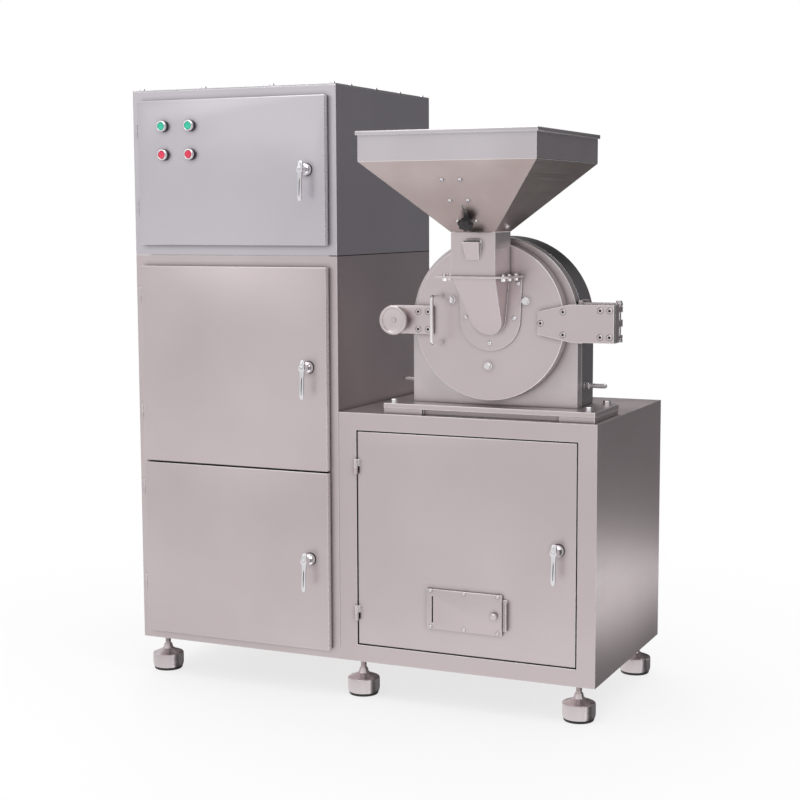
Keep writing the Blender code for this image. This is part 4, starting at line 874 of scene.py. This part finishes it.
def pale_floor():
    """A pale floor that fades into the white surroundings."""
    bm = bmesh.new()
    bmesh.ops.create_grid(bm, x_segments=1, y_segments=1, size=60)
    mesh = bpy.data.meshes.new("studio_floor")
    bm.to_mesh(mesh)
    bm.free()
    floor = bpy.data.objects.new("studio_floor", mesh)
    floor.location = (0, 0, -0.0005)
    bpy.context.scene.collection.objects.link(floor)
    pale = Shader("pale_floor", (0.86, 0.86, 0.86), 0.85)
    pale.colour(pale.mix(pale.remap(pale.noise(0.7), 0.0, 1.0), (0.85, 0.85, 0.85),
                         (0.87, 0.87, 0.87)))
    place = pale.node("ShaderNodeTexCoord")
    length = pale.node("ShaderNodeVectorMath", operation="LENGTH")
    pale.link(place.outputs["Object"], length.inputs[0])
    glow = pale.node("ShaderNodeEmission")
    glow.inputs["Color"].default_value = (1, 1, 1, 1)
    fade = pale.node("ShaderNodeMixShader")
    pale.link(pale.remap(length.outputs["Value"], 0.70, 1.0, 0.4, 2.2), fade.inputs[0])
    pale.link(pale.shader.outputs[0], fade.inputs[1])
    pale.link(glow.outputs[0], fade.inputs[2])
    output = pale.tree.nodes["Material Output"]
    pale.link(fade.outputs[0], output.inputs["Surface"])
    mesh.materials.append(pale.material)
    floor.visible_glossy = False


pale_floor()


def grey(value):
    """A grey with a touch of magenta."""
    return (value, value * 0.985, value)


def ramp(sky, value, stops):
    """The colour that a ramp of (position, colour) stops gives at value."""
    made = sky.node("ShaderNodeValToRGB")
    elements = made.color_ramp.elements
    for element, (position, colour) in zip(elements, (stops[0], stops[-1])):
        element.position = position
        element.color = (*colour, 1)
    for position, colour in stops[1:-1]:
        elements.new(position).color = (*colour, 1)
    sky.link(value, made.inputs["Fac"])
    return made.outputs["Color"]


def world_light():
    """The sky by direction.

    It is pale at the front left, has a bright band across the sides and is dark at the back
    right, where only its upper part is bright. The camera itself sees plain white.
    """
    world = bpy.data.worlds.new("studio")
    bpy.context.scene.world = world
    world.use_nodes = True
    world.node_tree.nodes.clear()
    sky = Nodes(world.node_tree)
    place = sky.node("ShaderNodeTexCoord")
    toward = sky.node("ShaderNodeVectorMath", operation="DOT_PRODUCT")
    toward.inputs[1].default_value = (0.62, 0.78, 0.0)      # the back right
    sky.link(place.outputs["Generated"], toward.inputs[0])
    across = sky.math("MULTIPLY_ADD", toward.outputs["Value"], 0.5, 0.5)
    up = sky.along("Generated", "Z")
    height = sky.math("MULTIPLY_ADD", up, 0.5, 0.5)

    colour = ramp(sky, across, [
        (0.0, (0.70, 0.687, 0.692)), (0.35, grey(0.74)), (0.57, grey(0.62)), (0.60, grey(0.80)),
        (0.63, grey(1.60)), (0.66, grey(0.80)), (0.70, grey(0.18)), (0.80, grey(0.04)),
        (0.87, grey(0.03)), (0.94, grey(0.14)), (1.0, (0.165, 0.158, 0.167))])
    by_height = ramp(sky, height, [(0.35, (1.18, 1.18, 1.18)), (0.50, (1, 1, 1)),
                                   (0.80, (1, 1, 1)), (0.95, (1.9, 1.9, 1.9))])
    lift = sky.remap(up, 0.0, 1.4, 0.25, 0.55)
    behind = sky.remap(across, 0.0, 1.0, 0.50, 0.66)
    back = sky.node("ShaderNodeBackground")
    sky.link(colour, back.inputs["Color"])
    sky.link(sky.math("MULTIPLY_ADD", lift, behind, by_height), back.inputs["Strength"])
    white = sky.node("ShaderNodeBackground")
    white.inputs["Color"].default_value = (1, 1, 1, 1)
    white.inputs["Strength"].default_value = 1.0
    path = sky.node("ShaderNodeLightPath")
    choose = sky.node("ShaderNodeMixShader")
    sky.link(path.outputs["Is Camera Ray"], choose.inputs[0])
    sky.link(back.outputs[0], choose.inputs[1])
    sky.link(white.outputs[0], choose.inputs[2])
    sky.link(choose.outputs[0], sky.node("ShaderNodeOutputWorld").inputs["Surface"])


world_light()


def area_light(name, place, target, size, power):
    """A rectangular lamp that faces target."""
    light = bpy.data.lights.new(name, "AREA")
    light.shape = "RECTANGLE"
    light.size, light.size_y = size
    light.energy = power
    lamp = bpy.data.objects.new(name, light)
    lamp.location = Vector(place)
    lamp.rotation_euler = (Vector(target) - Vector(place)).to_track_quat("-Z", "Y").to_euler()
    bpy.context.scene.collection.objects.link(lamp)


area_light("key", (-2.6, -4.0, 3.7), (0, 0, 0.8), (3.4, 3.4), 14)
area_light("top", (0.2, -0.4, 4.2), (0, 0, 0), (3.5, 3.5), 26)
area_light("floor_bounce", (1.40, 1.2, 0.02), (1.40, 1.2, 1.0), (0.8, 1.4), 4.2)


def camera():
    """The photograph's view."""
    azimuth, tilt, roll = math.radians(24.26), math.radians(6.49), math.radians(-0.23)
    forward = Vector((-math.sin(azimuth) * math.cos(tilt), math.cos(azimuth) * math.cos(tilt),
                      -math.sin(tilt)))
    level = Vector((math.cos(azimuth), math.sin(azimuth), 0))
    above = level.cross(forward)
    right = level * math.cos(roll) + above * math.sin(roll)
    up = above * math.cos(roll) - level * math.sin(roll)
    data = bpy.data.cameras.new("camera")
    data.lens = 73.08
    data.sensor_width = 36
    lens = bpy.data.objects.new("camera", data)
    turn = Matrix((right, up, -forward)).transposed().to_4x4()
    lens.matrix_world = Matrix.Translation(Vector((1.9302, -3.8790, 1.2038)) + SHIFT) @ turn
    bpy.context.scene.collection.objects.link(lens)
    bpy.context.scene.camera = lens


camera()
bpy.context.scene.view_settings.view_transform = "Standard"
